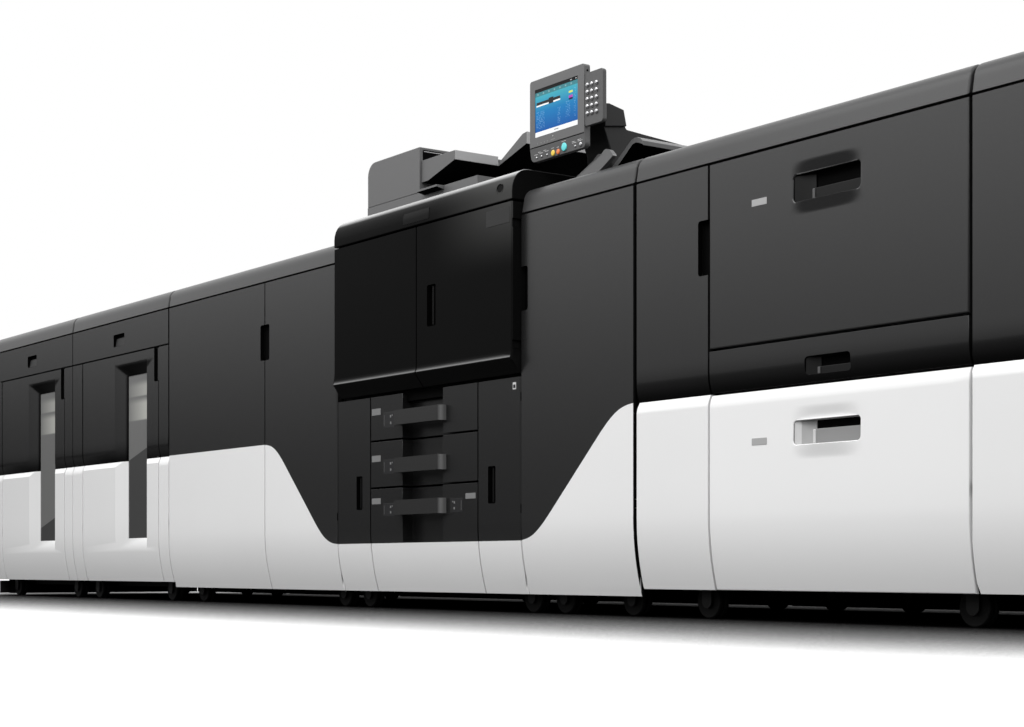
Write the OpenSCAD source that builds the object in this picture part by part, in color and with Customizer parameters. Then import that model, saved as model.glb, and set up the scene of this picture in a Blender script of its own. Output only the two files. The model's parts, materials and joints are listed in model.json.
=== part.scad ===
// Digital production printer: a line of seven cabinets on casters, with
// doors, drawers, a document feeder and a control panel.
// +X runs along the line to the paper feeders, +Y goes into the machine,
// +Z is up. The origin is on the floor under the middle of the line.

/* [Line] */
// Width of one stacker
stacker_w = 916; // [860:2:980]
// Width of the delivery unit
delivery_w = 1238; // [1180:2:1300]
// Width of the scanner and cassette unit
engine_w = 990; // [970:2:1040]
// Width of the print unit
print_w = 488; // [470:2:540]
// Width of one paper feeder
feeder_w = 1070; // [1020:2:1140]
// Depth of the cabinets, from the door faces to the rear
body_depth = 1000; // [960:5:1060]
// Gap between neighbouring cabinets and panels
seam = 6; // [5:0.5:8]

/* [Heights] */
// Top of the cabinets
top_z = 1154; // [1140:2:1180]
// Seam under the rounded top covers
cover_seam_z = 1084; // [1070:2:1090]
// Split between the dark and the pale panels
split_z = 536; // [525:1:545]
// Lower edge of the middle cabinets' skirts
skirt_z = 52; // [48:1:60]
// Lower edge of the stackers' and feeders' skirts
end_skirt_z = 71; // [66:1:76]
// Height at which the skirts start to curve inwards
skirt_curve_z = 250; // [240:2:260]
// Radius of the skirts' inward curve
skirt_r = 690; // [640:10:760]

/* [Panels] */
// Thickness of doors and drawer fronts
panel_t = 24; // [20:1:28]
// Least thickness of a panel where its face curves in
skin_t = 8; // [6:1:10]
// Clearance between a door's back and its cabinet
back_gap = 6; // [5:0.5:8]
// Thickness of cabinet walls
wall_t = 18; // [14:1:22]
// Depth of the recess behind a door
door_recess = 60; // [40:5:80]
// How far the upper engine doors stand proud
engine_proud = 28; // [24:1:36]
// Height of a finger slot in a door
slot_h = 120; // [100:5:140]
// Centre height of the door finger slots
slot_z = 881; // [860:1:900]
// Depth of the finger slots
slot_depth = 15; // [10:1:18]

/* [Hinges and rails] */
// Distance of a hinge pin behind the door's face
pin_back = 8; // [7:0.5:10]
// Distance of a hinge pin from the door's hinge edge
pin_side = 10; // [9:0.5:12]
// Radius of a hinge pin
pin_r = 2.5; // [2:0.5:3]
// Running clearance round a pin
pin_play = 0.1; // [0.05:0.05:0.3]
// Height of a hinge arm
arm_h = 20; // [16:1:26]
// Width of a hinge arm
arm_w = 8; // [6:0.5:8]
// Clearance round a hinge arm in its notch
arm_gap = 1.5; // [1:0.5:2]
// Width of a drawer rail
rail_w = 20; // [16:1:26]
// Thickness of a cassette rail
rail_t = 6; // [4:1:8]
// Play between a drawer and its rails
rail_play = 0.3; // [0.2:0.1:0.5]

/* [Stackers] */
// Width of the fixed strip left of a stacker door
stacker_strip_l = 103; // [90:1:116]
// Width of the fixed strip right of a stacker door
stacker_strip_r = 87; // [76:1:98]
// Top edge of a stacker door
stacker_door_top = 951; // [940:1:960]
// Width of the door's window
window_w = 174; // [160:2:200]
// Height of the door's window
window_h = 628; // [600:2:640]
// Bottom of the window
window_z = 237; // [230:1:245]
// Width of the slope left of the window
window_slope_l = 87; // [70:1:110]
// Width of the slope right of the window
window_slope_r = 34; // [28:1:40]
// Height of the slopes above and below the window
window_slope_z = 47; // [36:1:54]
// Distance from the window's bevel to the door's free edge
window_inset = 101; // [85:1:115]
// Thickness of the window pane
pane_t = 5; // [4:0.5:6]
// Height of the first stacker's lifting table
table_1_z = 300; // [270:5:340]
// Height of the second stacker's lifting table
table_2_z = 545; // [500:5:580]

/* [Engine] */
// Width of the cover left of the cassettes
engine_cover_l = 203; // [195:1:212]
// Width of the cover right of the cassettes
engine_cover_r = 206; // [198:1:214]
// Lower edge of the upper doors
engine_door_z = 653; // [650:1:662]
// Seam between the upper doors and the top cover
engine_seam_z = 1121; // [1110:1:1130]
// Top of the scanner deck
deck_z = 1210; // [1200:1:1225]
// Seam between cassettes 1 and 2
cassette_seam_1 = 509; // [500:1:515]
// Seam between cassettes 2 and 3
cassette_seam_2 = 366; // [360:1:372]
// Width of the upright grip channel
channel_w = 219; // [210:1:230]
// Depth of the upright grip channel
channel_d = 37; // [34:1:46]
// Height of a cassette handle
handle_h = 44; // [38:1:48]
// Travel of a cassette
cassette_travel = 470; // [400:10:480]

/* [Feeders] */
// Width of a feeder's side door
side_door_w = 276; // [260:1:290]
// Seam under the upper drawer
upper_seam_z = 640; // [630:1:650]
// Width of the large finger pockets
pocket_w = 206; // [190:2:220]
// Height of the large finger pockets
pocket_h = 60; // [50:1:66]
// Depth of the finger pockets into the drawer front
pocket_d = 20; // [16:1:22]
// Travel of a feeder drawer
drawer_travel = 520; // [450:10:560]

/* [Scanner and panel] */
// Width of the document feeder
feeder_head_w = 616; // [600:2:640]
// Depth of the document feeder
feeder_head_d = 530; // [500:5:560]
// Height of the document feeder above the deck
feeder_head_h = 194; // [185:1:205]
// Width of the control panel
panel_w = 243; // [230:1:255]
// Height of the control panel
panel_h = 221; // [210:1:230]
// Height of the panel's lower edge
panel_z = 1234; // [1228:1:1242]
// Thickness of the control panel
panel_body_t = 20; // [18:1:26]
// Width of the keypad beside the screen
keypad_w = 77; // [70:1:84]

/* [Casters] */
// Diameter of a caster wheel
wheel_d = 84; // [78:2:88]
// Width of a caster wheel
wheel_w = 32; // [28:1:36]
// Distance of the front casters from the door faces
caster_front = 100; // [96:1:112]
// Distance of the rear casters from the rear
caster_rear = 130; // [110:2:140]

/* [Hidden] */

dark = "#2b2b2b";
darker = "#141414";
grey = "#6a6a6a";
pale = "#e6e6e6";

// Places of the cabinets along the line
line_w = 2 * stacker_w + delivery_w + engine_w + print_w + 2 * feeder_w;
stacker_1_x = -line_w / 2;
stacker_2_x = stacker_1_x + stacker_w;
delivery_x = stacker_2_x + stacker_w;
engine_x = delivery_x + delivery_w;
print_x = engine_x + engine_w;
feeder_1_x = print_x + print_w;
feeder_2_x = feeder_1_x + feeder_w;

// Depths: the door faces lie at front_y, the rear at rear_y
front_y = -(body_depth + engine_proud) / 2 + engine_proud;
rear_y = front_y + body_depth;
cabinet_y = front_y + panel_t + back_gap;
half = seam / 2;

// Heights of the cabinets' own boxes
base_z = 92;
base_h = 30;
cabinet_z = base_z + base_h;
cabinet_top_z = cover_seam_z + half;

// The cabinets as [x, width, places of the front casters, places of the rear casters]
UNITS = [
    [stacker_1_x, stacker_w, [75, stacker_w - 150], [140, stacker_w - 140]],
    [stacker_2_x, stacker_w, [75, stacker_w - 150], [140, stacker_w - 140]],
    [delivery_x, delivery_w, [119, delivery_w - 94], [160, delivery_w - 160]],
    [engine_x, engine_w, [60, engine_w - 58], [180, engine_w - 180]],
    [print_x, print_w, [89, print_w - 110], [90, print_w - 160]],
    [feeder_1_x, feeder_w, [181, feeder_w - 60], [130, feeder_w - 130]],
    [feeder_2_x, feeder_w, [181, feeder_w - 60], [130, feeder_w - 130]]
];

// ---- Shapes that repeat ----

// A profile given as [y, z] points, extruded along X from x0
module along_x(x0, w, points) {
    translate([x0, 0, 0])
        rotate([90, 0, 90])
            linear_extrude(height = w)
                polygon(points);
}

// A profile given as [x, z] points, extruded along Y from y0 to y0 + d
module along_y(y0, d, points) {
    translate([0, y0 + d, 0])
        rotate([90, 0, 0])
            linear_extrude(height = d)
                polygon(points);
}

// A box given by its low corner and size
module box(x, y, z, w, d, h) {
    translate([x, y, z]) cube([w, d, h]);
}

// How far the front surface lies behind front_y at height z
groove_up = 50;
groove_down = 20;
groove_d = 10;
function skirt_back(z) =
    z >= skirt_curve_z ? 0 : skirt_r - sqrt(pow(skirt_r, 2) - pow(skirt_curve_z - z, 2));
function groove_back(z) =
    z >= split_z ? groove_d * pow(max(0, 1 - (z - split_z) / groove_up), 2)
                 : groove_d * max(0, 1 - (split_z - z) / groove_down);
function face_y(z, grooved) = front_y + skirt_back(z) + (grooved ? groove_back(z) : 0);

// Heights at which a panel's profile needs a point
skirt_steps = 8;
groove_steps = 5;
function bend_heights(z0, z1) = [
    for (k = [0 : skirt_steps]) z0 + (skirt_curve_z - z0) * k / skirt_steps,
    split_z - groove_down,
    for (k = [0 : groove_steps]) split_z + groove_up * k / groove_steps
];
function panel_heights(z0, z1) = concat(
    [z0], [for (z = bend_heights(z0, z1)) if (z > z0 + 1 && z < z1 - 1) z], [z1]);
function panel_back_y(z, t) = front_y + max(t, skirt_back(z) + skin_t);
function panel_points(z0, z1, t, grooved) = let (hs = panel_heights(z0, z1), n = len(hs)) concat(
    [for (z = hs) [face_y(z, grooved), z]],
    [for (k = [1 : n]) [panel_back_y(hs[n - k], t), hs[n - k]]]);

// A front panel from x0 to x1 and z0 to z1, curved in at the skirt
module front_panel(x0, x1, z0, z1, grooved = false, t = panel_t) {
    along_x(x0, x1 - x0, panel_points(z0, z1, t, grooved));
}

// A round-cornered pocket cut into a front, from depth y0 to y0 + d
module pocket(x, z, w, h, r, y0, d) {
    translate([x + w / 2, y0 + d, z + h / 2])
        rotate([90, 0, 0])
            linear_extrude(height = d)
                union() {
                    square([w - 2 * r, h], center = true);
                    square([w, h - 2 * r], center = true);
                    for (sx = [-1, 1], sz = [-1, 1])
                        translate([sx * (w / 2 - r), sz * (h / 2 - r)])
                            circle(r = r, $fn = 24);
                }
}

cut = 40; // how far a cut starts in front of a face
tall_cut = 4000; // height of a cut that runs through a whole door

// ---- Hinges and rails ----

// A door's pin: edge is the x of its hinge edge, side is 1 where the door runs to +X
function pin_x(edge, side) = edge + side * pin_side;
arm_z_gap = 2;
pin_end = 10;
edge_bevel = 4;
back_bevel = 6;

// What the hinge edge of a door of thickness t loses: bevels, arm notches and pin bores
module hinge_cuts(edge, side, y0, t, zs) {
    px = pin_x(edge, side);
    py = y0 + pin_back;
    notch = arm_w / 2 + arm_gap;
    translate([edge, y0, 0])
        rotate([0, 0, 45])
            cube([edge_bevel * sqrt(2), edge_bevel * sqrt(2), tall_cut], center = true);
    translate([edge, y0 + t, 0])
        rotate([0, 0, 45])
            cube([back_bevel * sqrt(2), back_bevel * sqrt(2), tall_cut], center = true);
    for (z = zs) {
        x0 = side > 0 ? edge - 1 : px - notch;
        box(x0, py - notch, z - arm_h / 2 - arm_z_gap, pin_side + notch + 1,
            t + cut, arm_h + 2 * arm_z_gap);
        translate([px, py, z])
            cylinder(r = pin_r + pin_play, h = arm_h + 2 * pin_end + 4, center = true, $fn = 24);
    }
}

// A hinge arm with its pin; foot is how far its foot reaches sideways behind a strip
module hinge_arm(edge, side, y0, z, foot = 0) {
    px = pin_x(edge, side);
    py = y0 + pin_back;
    translate([px, py, z]) {
        cylinder(r = arm_w / 2, h = arm_h, center = true, $fn = 24);
        cylinder(r = pin_r, h = arm_h + 2 * pin_end, center = true, $fn = 24);
    }
    box(px - arm_w / 2, py, z - arm_h / 2, arm_w, cabinet_y - py, arm_h);
    if (foot > 0)
        box(side > 0 ? px - foot : px, front_y + panel_t, z - arm_h / 2, foot,
            cabinet_y - front_y - panel_t, arm_h);
}

// ---- Casters and base ----

function caster_places(u) = concat(
    [for (x = u[2]) [u[0] + x, front_y + caster_front]],
    [for (x = u[3]) [u[0] + x, rear_y - caster_rear]]);
axle_r = 6;
fork_t = 4;
wheel_gap = 2;
fork_w = wheel_w + 2 * (wheel_gap + fork_t);

module caster_wheel() {
    translate([0, 0, wheel_d / 2])
        rotate([90, 0, 0])
            difference() {
                cylinder(d = wheel_d, h = wheel_w, center = true, $fn = 40);
                cylinder(r = axle_r + 0.05, h = wheel_w + 2, center = true, $fn = 24);
            }
}

module caster_fork() {
    cheek_w = 34;
    for (s = [-1, 1])
        translate([0, s * (fork_w - fork_t) / 2, 0]) {
            box(-cheek_w / 2, -fork_t / 2, wheel_d / 2, cheek_w, fork_t, base_z - wheel_d / 2);
            translate([0, 0, wheel_d / 2])
                rotate([90, 0, 0])
                    cylinder(d = cheek_w, h = fork_t, center = true, $fn = 32);
        }
    box(-cheek_w, -fork_w / 2, base_z - fork_t, 2 * cheek_w, fork_w, fork_t);
    translate([0, 0, wheel_d / 2])
        rotate([90, 0, 0])
            cylinder(r = axle_r, h = fork_w, center = true, $fn = 24);
}

module caster_wheels() {
    color("#1c1c1c")
        for (u = UNITS, p = caster_places(u))
            translate([p[0], p[1], 0]) caster_wheel();
}

module caster_forks() {
    color("#303030")
        for (u = UNITS, p = caster_places(u))
            translate([p[0], p[1], 0]) caster_fork();
}

base_inset = 55;
// Plates that close the frames at the rear and at both ends, down to kick_z
kick_z = 8;
kick_t = 4;
kick_inset = 20;
kick_front = 70;
// Pans that hang under the stackers' frames
pan_z = 50;
pan_x = 150;
pan_w = 480;
pan_y = 140;
pan_d = 560;
// Bars that dock each cabinet to the next, on the base frames' undersides
bar_l = 120;
bar_w = 40;
bar_t = 8;
module base_frames() {
    color(darker) {
        for (u = UNITS) {
            box(u[0] + half, front_y + base_inset, base_z, u[1] - seam,
                body_depth - base_inset, base_h);
            box(u[0] + kick_inset, rear_y - kick_t, kick_z, u[1] - 2 * kick_inset, kick_t,
                base_z - kick_z + 1);
        }
        // the same at both ends of the line
        last = UNITS[len(UNITS) - 1];
        for (x = [UNITS[0][0] + half, last[0] + last[1] - half - kick_t])
            box(x, front_y + kick_front, kick_z, kick_t, body_depth - kick_front,
                base_z - kick_z + 1);
        for (x = [stacker_1_x, stacker_2_x])
            box(x + pan_x, front_y + pan_y, pan_z, pan_w, pan_d, base_z - pan_z + 1);
        for (k = [1 : len(UNITS) - 1], y = [front_y + 260, rear_y - 260])
            box(UNITS[k][0] - bar_l / 2, y - bar_w / 2, base_z - bar_t, bar_l, bar_w, bar_t);
    }
}

// ---- Top covers ----

cover_lean = 5;
cover_r = 38;
cover_steps = 6;
function cover_points() = let (z0 = cover_seam_z + half, zc = top_z - cover_r, r = cover_r) concat(
    [[front_y, z0]],
    [for (k = [0 : cover_steps]) let (a = 90 * k / cover_steps)
        [front_y + cover_lean + r * (1 - cos(a)), zc + r * sin(a)]],
    [[rear_y, top_z], [rear_y, z0]]);

module top_covers() {
    color("#4a4a4a")
        for (u = UNITS)
            if (u[0] != engine_x)
                along_x(u[0] + half, u[1] - seam, cover_points());
}

// ---- Cabinets ----

// Outer box of a cabinet behind its doors
module cabinet_block(u, z1) {
    box(u[0] + half, cabinet_y, cabinet_z, u[1] - seam, rear_y - cabinet_y, z1 - cabinet_z);
}

// Shallow recess behind a door, inside walls of wall_t
module behind_door(x0, x1, z0, z1) {
    box(x0, cabinet_y - 1, z0, x1 - x0, door_recess + 1, z1 - z0);
}

// ---- Stackers ----

bay_back_t = 40;
function stacker_bay_y1() = rear_y - bay_back_t;

module stacker_cabinet(x) {
    z0 = cabinet_z + wall_t;
    bay_top = stacker_door_top - wall_t;
    color(dark)
        difference() {
            cabinet_block([x, stacker_w], cabinet_top_z);
            box(x + half + wall_t, cabinet_y - 1, z0, stacker_w - seam - 2 * wall_t,
                stacker_bay_y1() - cabinet_y + 1, bay_top - z0);
        }
}
module stacker_1_cabinet() { stacker_cabinet(stacker_1_x); }
module stacker_2_cabinet() { stacker_cabinet(stacker_2_x); }

// Lifting tables on the rear wall, where the sheets pile up
table_w = 640;
table_d = 620;
table_t = 30;
module stacker_tables() {
    color(grey)
        for (p = [[stacker_1_x, table_1_z], [stacker_2_x, table_2_z]])
            box(p[0] + (stacker_w - table_w) / 2, stacker_bay_y1() - table_d, p[1] - table_t,
                table_w, table_d, table_t);
}

latch_w = 104;
latch_h = 48;
latch_x = 466;
latch_z = 1010;
module stacker_fronts() {
    strip_top = stacker_door_top - half;
    color(dark)
        for (x = [stacker_1_x, stacker_2_x]) {
            // Fixed strips beside the door, on flanges in front of the side walls
            front_panel(x + half, x + stacker_strip_l - half, end_skirt_z, strip_top, true);
            front_panel(x + stacker_w - stacker_strip_r + half, x + stacker_w - half,
                        end_skirt_z, strip_top, true);
            for (fx = [x + half, x + stacker_w - half - wall_t])
                box(fx, front_y + panel_t - 1, cabinet_z, wall_t, back_gap + 1,
                    strip_top - cabinet_z);
            // Cover over the door, with the latch recess
            difference() {
                box(x + half, front_y, stacker_door_top + half, stacker_w - seam,
                    panel_t + back_gap, cover_seam_z - half - stacker_door_top - half);
                pocket(x + latch_x - latch_w / 2, latch_z - latch_h / 2, latch_w, latch_h, 6,
                       front_y - cut, cut + slot_depth);
            }
        }
}

door_w_of_stacker = stacker_w - stacker_strip_l - stacker_strip_r - seam;
function stacker_door_x(x) = x + stacker_strip_l + half;
function window_x(x) = x + stacker_w - stacker_strip_r - half - window_inset - window_slope_r
    - window_w;
bevel_d = panel_t - pane_t - 2;

edge_slot_w = 36;
edge_slot_h = 127;
module stacker_door(x, k) {
    x0 = stacker_door_x(x);
    x1 = x0 + door_w_of_stacker;
    wx = window_x(x);
    color(dark)
        difference() {
            front_panel(x0, x1, end_skirt_z, stacker_door_top - half, true);
            // window opening
            box(wx, front_y - cut, window_z, window_w, 2 * cut + panel_t, window_h);
            // bevel round the window, wide at the left and narrow at the right
            window_bevel(wx);
            // seat for the pane, cut in from the back
            box(wx - 10, front_y + panel_t - pane_t, window_z - 10, window_w + 20, cut,
                window_h + 20);
            // finger slot at the free edge
            box(x1 - edge_slot_w, front_y - cut, slot_z + 4 - edge_slot_h / 2, edge_slot_w + 1,
                cut + slot_depth, edge_slot_h);
            door_cuts(k);
        }
}

// The window's border: a wide slope at the left, a narrow one at the right, top and bottom
module window_bevel(wx) {
    deep = front_y + bevel_d;
    top = window_z + window_h;
    intersection() {
        translate([0, 0, window_z - 2 * window_slope_z])
            linear_extrude(height = window_h + 4 * window_slope_z)
                polygon([
                    [wx - window_slope_l, front_y], [wx, deep], [wx + window_w, deep],
                    [wx + window_w + window_slope_r, front_y],
                    [wx + window_w + window_slope_r, front_y - cut],
                    [wx - window_slope_l, front_y - cut]
                ]);
        along_x(wx - 2 * window_slope_l, window_w + 4 * window_slope_l, [
            [front_y, window_z - window_slope_z], [deep, window_z], [deep, top],
            [front_y, top + window_slope_z], [front_y - cut, top + window_slope_z],
            [front_y - cut, window_z - window_slope_z]
        ]);
    }
}

module stacker_1_door() { stacker_door(stacker_1_x, 0); }
module stacker_2_door() { stacker_door(stacker_2_x, 1); }

module stacker_window(x) {
    color("#9a9a9a")
        box(window_x(x) - 9.5, front_y + panel_t - pane_t, window_z - 9.5,
            window_w + 19, pane_t, window_h + 19);
}
module stacker_1_window() { stacker_window(stacker_1_x); }
module stacker_2_window() { stacker_window(stacker_2_x); }

// ---- Delivery unit ----

delivery_split = 755;
mid_slot_w = 58;

module delivery_cabinet() {
    color(dark)
        difference() {
            cabinet_block([delivery_x, delivery_w], cabinet_top_z);
            behind_door(delivery_x + half + wall_t, delivery_x + delivery_w - half - wall_t,
                        cabinet_z + wall_t, cover_seam_z - wall_t);
        }
}

module delivery_door(x0, x1, slot_x, k) {
    color(dark)
        difference() {
            front_panel(x0, x1, skirt_z, cover_seam_z - half);
            box(slot_x, front_y - cut, slot_z - slot_h / 2, mid_slot_w / 2, cut + slot_depth,
                slot_h);
            door_cuts(k);
        }
}
module delivery_left_door() {
    x1 = delivery_x + delivery_split - half;
    delivery_door(delivery_x + half, x1, x1 - mid_slot_w / 2 + 0.01, 2);
}
module delivery_right_door() {
    x0 = delivery_x + delivery_split + half;
    delivery_door(x0, delivery_x + delivery_w - half, x0 - 0.01, 3);
}

// ---- Engine: scanner deck, upper doors, cassettes ----

cassette_x0 = engine_x + engine_cover_l;
cassette_x1 = engine_x + engine_w - engine_cover_r;
engine_door_x0 = engine_x + engine_proud;
engine_door_x1 = engine_x + engine_w - half;
engine_split_at = 507;
engine_split = engine_x + engine_split_at;
cassette_bay_d = 560;
cassette_bay_top = engine_door_z - half - wall_t;
module engine_cabinet() {
    color(darker)
        difference() {
            cabinet_block([engine_x, engine_w], engine_seam_z + half);
            // behind the upper doors
            behind_door(engine_x + engine_proud + wall_t, engine_x + engine_w - half - wall_t,
                        engine_door_z + wall_t, engine_seam_z - wall_t);
            // behind the lower covers
            behind_door(engine_x + half + wall_t, cassette_x0 - wall_t,
                        cabinet_z + wall_t, cassette_bay_top);
            behind_door(cassette_x1 + wall_t, engine_x + engine_w - half - wall_t,
                        cabinet_z + wall_t, cassette_bay_top);
            // cassette bay
            box(cassette_x0 + half, cabinet_y - 1, cabinet_z + wall_t,
                cassette_x1 - cassette_x0 - seam, cassette_bay_d,
                cassette_bay_top - cabinet_z - wall_t);
        }
}

// Front of the scanner deck: leans back and rounds over
ledge_steps = 7;
ledge_back = 54;
function ledge_points() = let (z0 = engine_seam_z + half, h = deck_z - z0, y0 = front_y - engine_proud) concat(
    [[y0, z0]],
    [for (k = [0 : ledge_steps]) let (a = 90 * k / ledge_steps)
        [y0 + ledge_back * (1 - cos(a)), z0 + 22 + (h - 22) * sin(a)]],
    [[rear_y, deck_z], [rear_y, z0]]);
module engine_top_cover() {
    color(darker)
        along_x(engine_door_x0, engine_door_x1 - engine_door_x0, ledge_points());
}

engine_chamfer = 40;
function engine_door_points() = let (y0 = front_y - engine_proud) [
    [y0, engine_seam_z - half], [y0, engine_door_z + engine_chamfer],
    [front_y - 4, engine_door_z], [front_y + panel_t, engine_door_z],
    [front_y + panel_t, engine_seam_z - half]
];
engine_door_t = engine_proud + panel_t;
module engine_left_door() {
    color(darker)
        difference() {
            along_x(engine_door_x0, engine_split - half - engine_door_x0, engine_door_points());
            door_cuts(4, engine_door_t);
        }
}
engine_slot_w = 46;
engine_slot_at = 564;
engine_slot_x = engine_x + engine_slot_at;
module engine_right_door() {
    color(darker)
        difference() {
            along_x(engine_split + half, engine_door_x1 - engine_split - half,
                    engine_door_points());
            box(engine_slot_x, front_y - engine_proud - cut, slot_z - slot_h / 2,
                engine_slot_w, cut + slot_depth, slot_h);
            door_cuts(5, engine_door_t);
        }
}

lower_slot_w = 36;
lower_slot_h = 104;
lower_slot_z = 354;
lower_top = engine_door_z - half - back_gap;
module lower_cover(x0, x1, slot_x, k) {
    color(dark)
        difference() {
            front_panel(x0, x1, skirt_z, lower_top);
            box(slot_x, front_y - cut, lower_slot_z - lower_slot_h / 2, lower_slot_w,
                cut + slot_depth, lower_slot_h);
            door_cuts(k);
        }
}
module engine_lower_left_cover() {
    lower_cover(engine_x + half, cassette_x0 - half, cassette_x0 - 84, 6);
}
module engine_lower_right_cover() {
    lower_cover(cassette_x1 + half, engine_x + engine_w - half, cassette_x1 + 50, 7);
}

// A cassette: a front with the grip channel and handle, and a tray behind it
tray_t = 6;
tray_gap = 8;
channel_at = 387;
channel_x0 = engine_x + channel_at;
channel_wall = 8;
handle_foot_l = 13;
handle_foot_r = 18;
handle_proud = 24;
handle_t = 15;
handle_1_z = 571;
handle_2_z = 429;
handle_3_z = 303;
upper_tray = 520;
middle_tray = 378;
lower_tray = 152;
tray_h_1 = 100;
tray_h_2 = 100;
tray_h_3 = 190;
CASSETTE_TRAYS = [upper_tray, middle_tray, lower_tray];

// An open box for paper, from x0 to x1
module tray(x0, x1, y0, d, z0, h) {
    difference() {
        box(x0, y0, z0, x1 - x0, d, h);
        box(x0 + tray_t, y0 + tray_t, z0 + tray_t, x1 - x0 - 2 * tray_t, d - 2 * tray_t, h);
    }
}

// zb and zt are the lower and upper ends of the channel in this front
module cassette(z0, z1, zb, zt, handle_z, tray_z, tray_h) {
    x0 = cassette_x0 + half;
    x1 = cassette_x1 - half;
    tx0 = cassette_x0 + half + tray_gap;
    tx1 = cassette_x1 - half - tray_gap;
    bed_y = front_y + channel_d + channel_wall;
    deep_top = min(zt, cassette_bay_top - channel_wall - half);
    deep_base = max(zb, z0);
    color(dark) {
        difference() {
            union() {
                front_panel(x0, x1, z0, z1);
                // housing of the channel, inside the cassette bay
                box(channel_x0 - channel_wall, front_y + panel_t - 1, max(z0, deep_base) ,
                    channel_w + 2 * channel_wall, bed_y - front_y - panel_t + 1,
                    deep_top - deep_base);
                box(tx0, front_y + panel_t - 1, tray_z, tx1 - tx0, bed_y - front_y - panel_t + 1,
                    tray_h);
            }
            box(channel_x0, front_y - cut, deep_base - (zb < z0 ? 1 : -channel_wall), channel_w,
                cut + channel_d, deep_top - deep_base + (zb < z0 ? 1 : -channel_wall));
            if (zt > deep_top)
                box(channel_x0, front_y - cut, deep_top - 1, channel_w, cut + panel_t - skin_t,
                    zt - deep_top + 2);
        }
        tray(tx0, tx1, bed_y - tray_t, cassette_bay_d - channel_d - channel_wall - 10,
             tray_z, tray_h);
        // handle in front of the channel, with a foot on each side of it
        box(channel_x0 - handle_foot_l, front_y - handle_proud, handle_z - handle_h / 2,
            channel_w + handle_foot_l + handle_foot_r, handle_t, handle_h);
        for (f = [[channel_x0 - handle_foot_l, handle_foot_l], [channel_x0 + channel_w, handle_foot_r]])
            box(f[0], front_y - handle_proud, handle_z - handle_h / 2, f[1],
                handle_proud + 1, handle_h);
    }
}
module cassette_1() {
    z0 = cassette_seam_1 + half;
    cassette(z0, lower_top, z0 - 1, lower_top, handle_1_z, upper_tray, tray_h_1);
}
module cassette_2() {
    z0 = cassette_seam_2 + half;
    z1 = cassette_seam_1 - half;
    cassette(z0, z1, z0 - 1, z1, handle_2_z, middle_tray, tray_h_2);
}
channel_z0 = 192;
module cassette_3() {
    z1 = cassette_seam_2 - half;
    cassette(skirt_z, z1, channel_z0, z1, handle_3_z, lower_tray, tray_h_3);
}

// ---- Print unit ----

module print_cabinet() {
    color(dark)
        difference() {
            cabinet_block([print_x, print_w], cabinet_top_z);
            behind_door(print_x + half + wall_t, print_x + print_w - half - wall_t,
                        cabinet_z + wall_t, cover_seam_z - wall_t);
        }
}
module print_door() {
    color(dark)
        difference() {
            front_panel(print_x + half, print_x + print_w - half, skirt_z,
                        cover_seam_z - half);
            box(print_x + half - 1, front_y - cut, slot_z - slot_h / 2, mid_slot_w / 2 + 1,
                cut + slot_depth, slot_h);
            door_cuts(8);
        }
}

// ---- Feeders ----

bay_d = 620;
shelf_t = 16;
// Lower edge and upper edge of each drawer's bay, from the bottom drawer up
lower_bay = [cabinet_z + wall_t, split_z - shelf_t / 2];
middle_bay = [split_z + shelf_t / 2, upper_seam_z - shelf_t / 2];
upper_bay = [upper_seam_z + shelf_t / 2, cover_seam_z - wall_t];
BAYS = [lower_bay, middle_bay, upper_bay];
function drawer_x0(x) = x + side_door_w;
function drawer_x1(x) = x + feeder_w - half;

module feeder_cabinet(x) {
    color(dark)
        difference() {
            cabinet_block([x, feeder_w], cabinet_top_z);
            behind_door(x + half + wall_t, drawer_x0(x) - wall_t, cabinet_z + wall_t,
                        cover_seam_z - wall_t);
            for (b = BAYS)
                box(drawer_x0(x) + wall_t, cabinet_y - 1, b[0],
                    drawer_x1(x) - drawer_x0(x) - 2 * wall_t, bay_d, b[1] - b[0]);
        }
}
module feeder_1_cabinet() { feeder_cabinet(feeder_1_x); }
module feeder_2_cabinet() { feeder_cabinet(feeder_2_x); }

side_slot_w = 38;
side_slot_h = 132;
side_slot_z = 887;
module feeder_side_door(x, k) {
    color(dark)
        difference() {
            front_panel(x + half, drawer_x0(x) - half, end_skirt_z, cover_seam_z - half, true);
            box(drawer_x0(x) - side_slot_w, front_y - cut, side_slot_z - side_slot_h / 2,
                side_slot_w + 1, cut + slot_depth, side_slot_h);
            door_cuts(k);
        }
}
module feeder_1_side_door() { feeder_side_door(feeder_1_x, 9); }
module feeder_2_side_door() { feeder_side_door(feeder_2_x, 10); }

// A drawer: front panel with a finger pocket, and a tray that runs in its bay
drawer_gap = 6;
module drawer(x, z0, z1, bay, tray_h, pw, ph, pz, px) {
    x0 = drawer_x0(x) + half;
    x1 = drawer_x1(x);
    difference() {
        union() {
            front_panel(x0, x1, z0, z1, true);
            tray(x0 + wall_t + drawer_gap, x1 - wall_t - drawer_gap,
                 front_y + panel_t - tray_t, bay_d - panel_t - 10,
                 bay[0] + drawer_gap, tray_h);
        }
        pocket(px, pz - ph / 2, pw, ph, pocket_r, front_y - cut, cut + pocket_d);
    }
}
pocket_at = 561;
function pocket_x(x) = x + pocket_at;
pocket_r = 10;
small_pocket_w = 140;
small_pocket_h = 41;
small_pocket_z = 576;
small_pocket_in = 36;
upper_pocket_z = 977;
lower_pocket_z = 428;
lower_pocket_h = 54;
upper_tray_h = 330;
middle_tray_h = 70;
lower_tray_h = 300;
module upper_drawer(x) {
    color(dark)
        drawer(x, upper_seam_z + half, cover_seam_z - half, upper_bay, upper_tray_h,
               pocket_w, pocket_h, upper_pocket_z, pocket_x(x));
}
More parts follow.
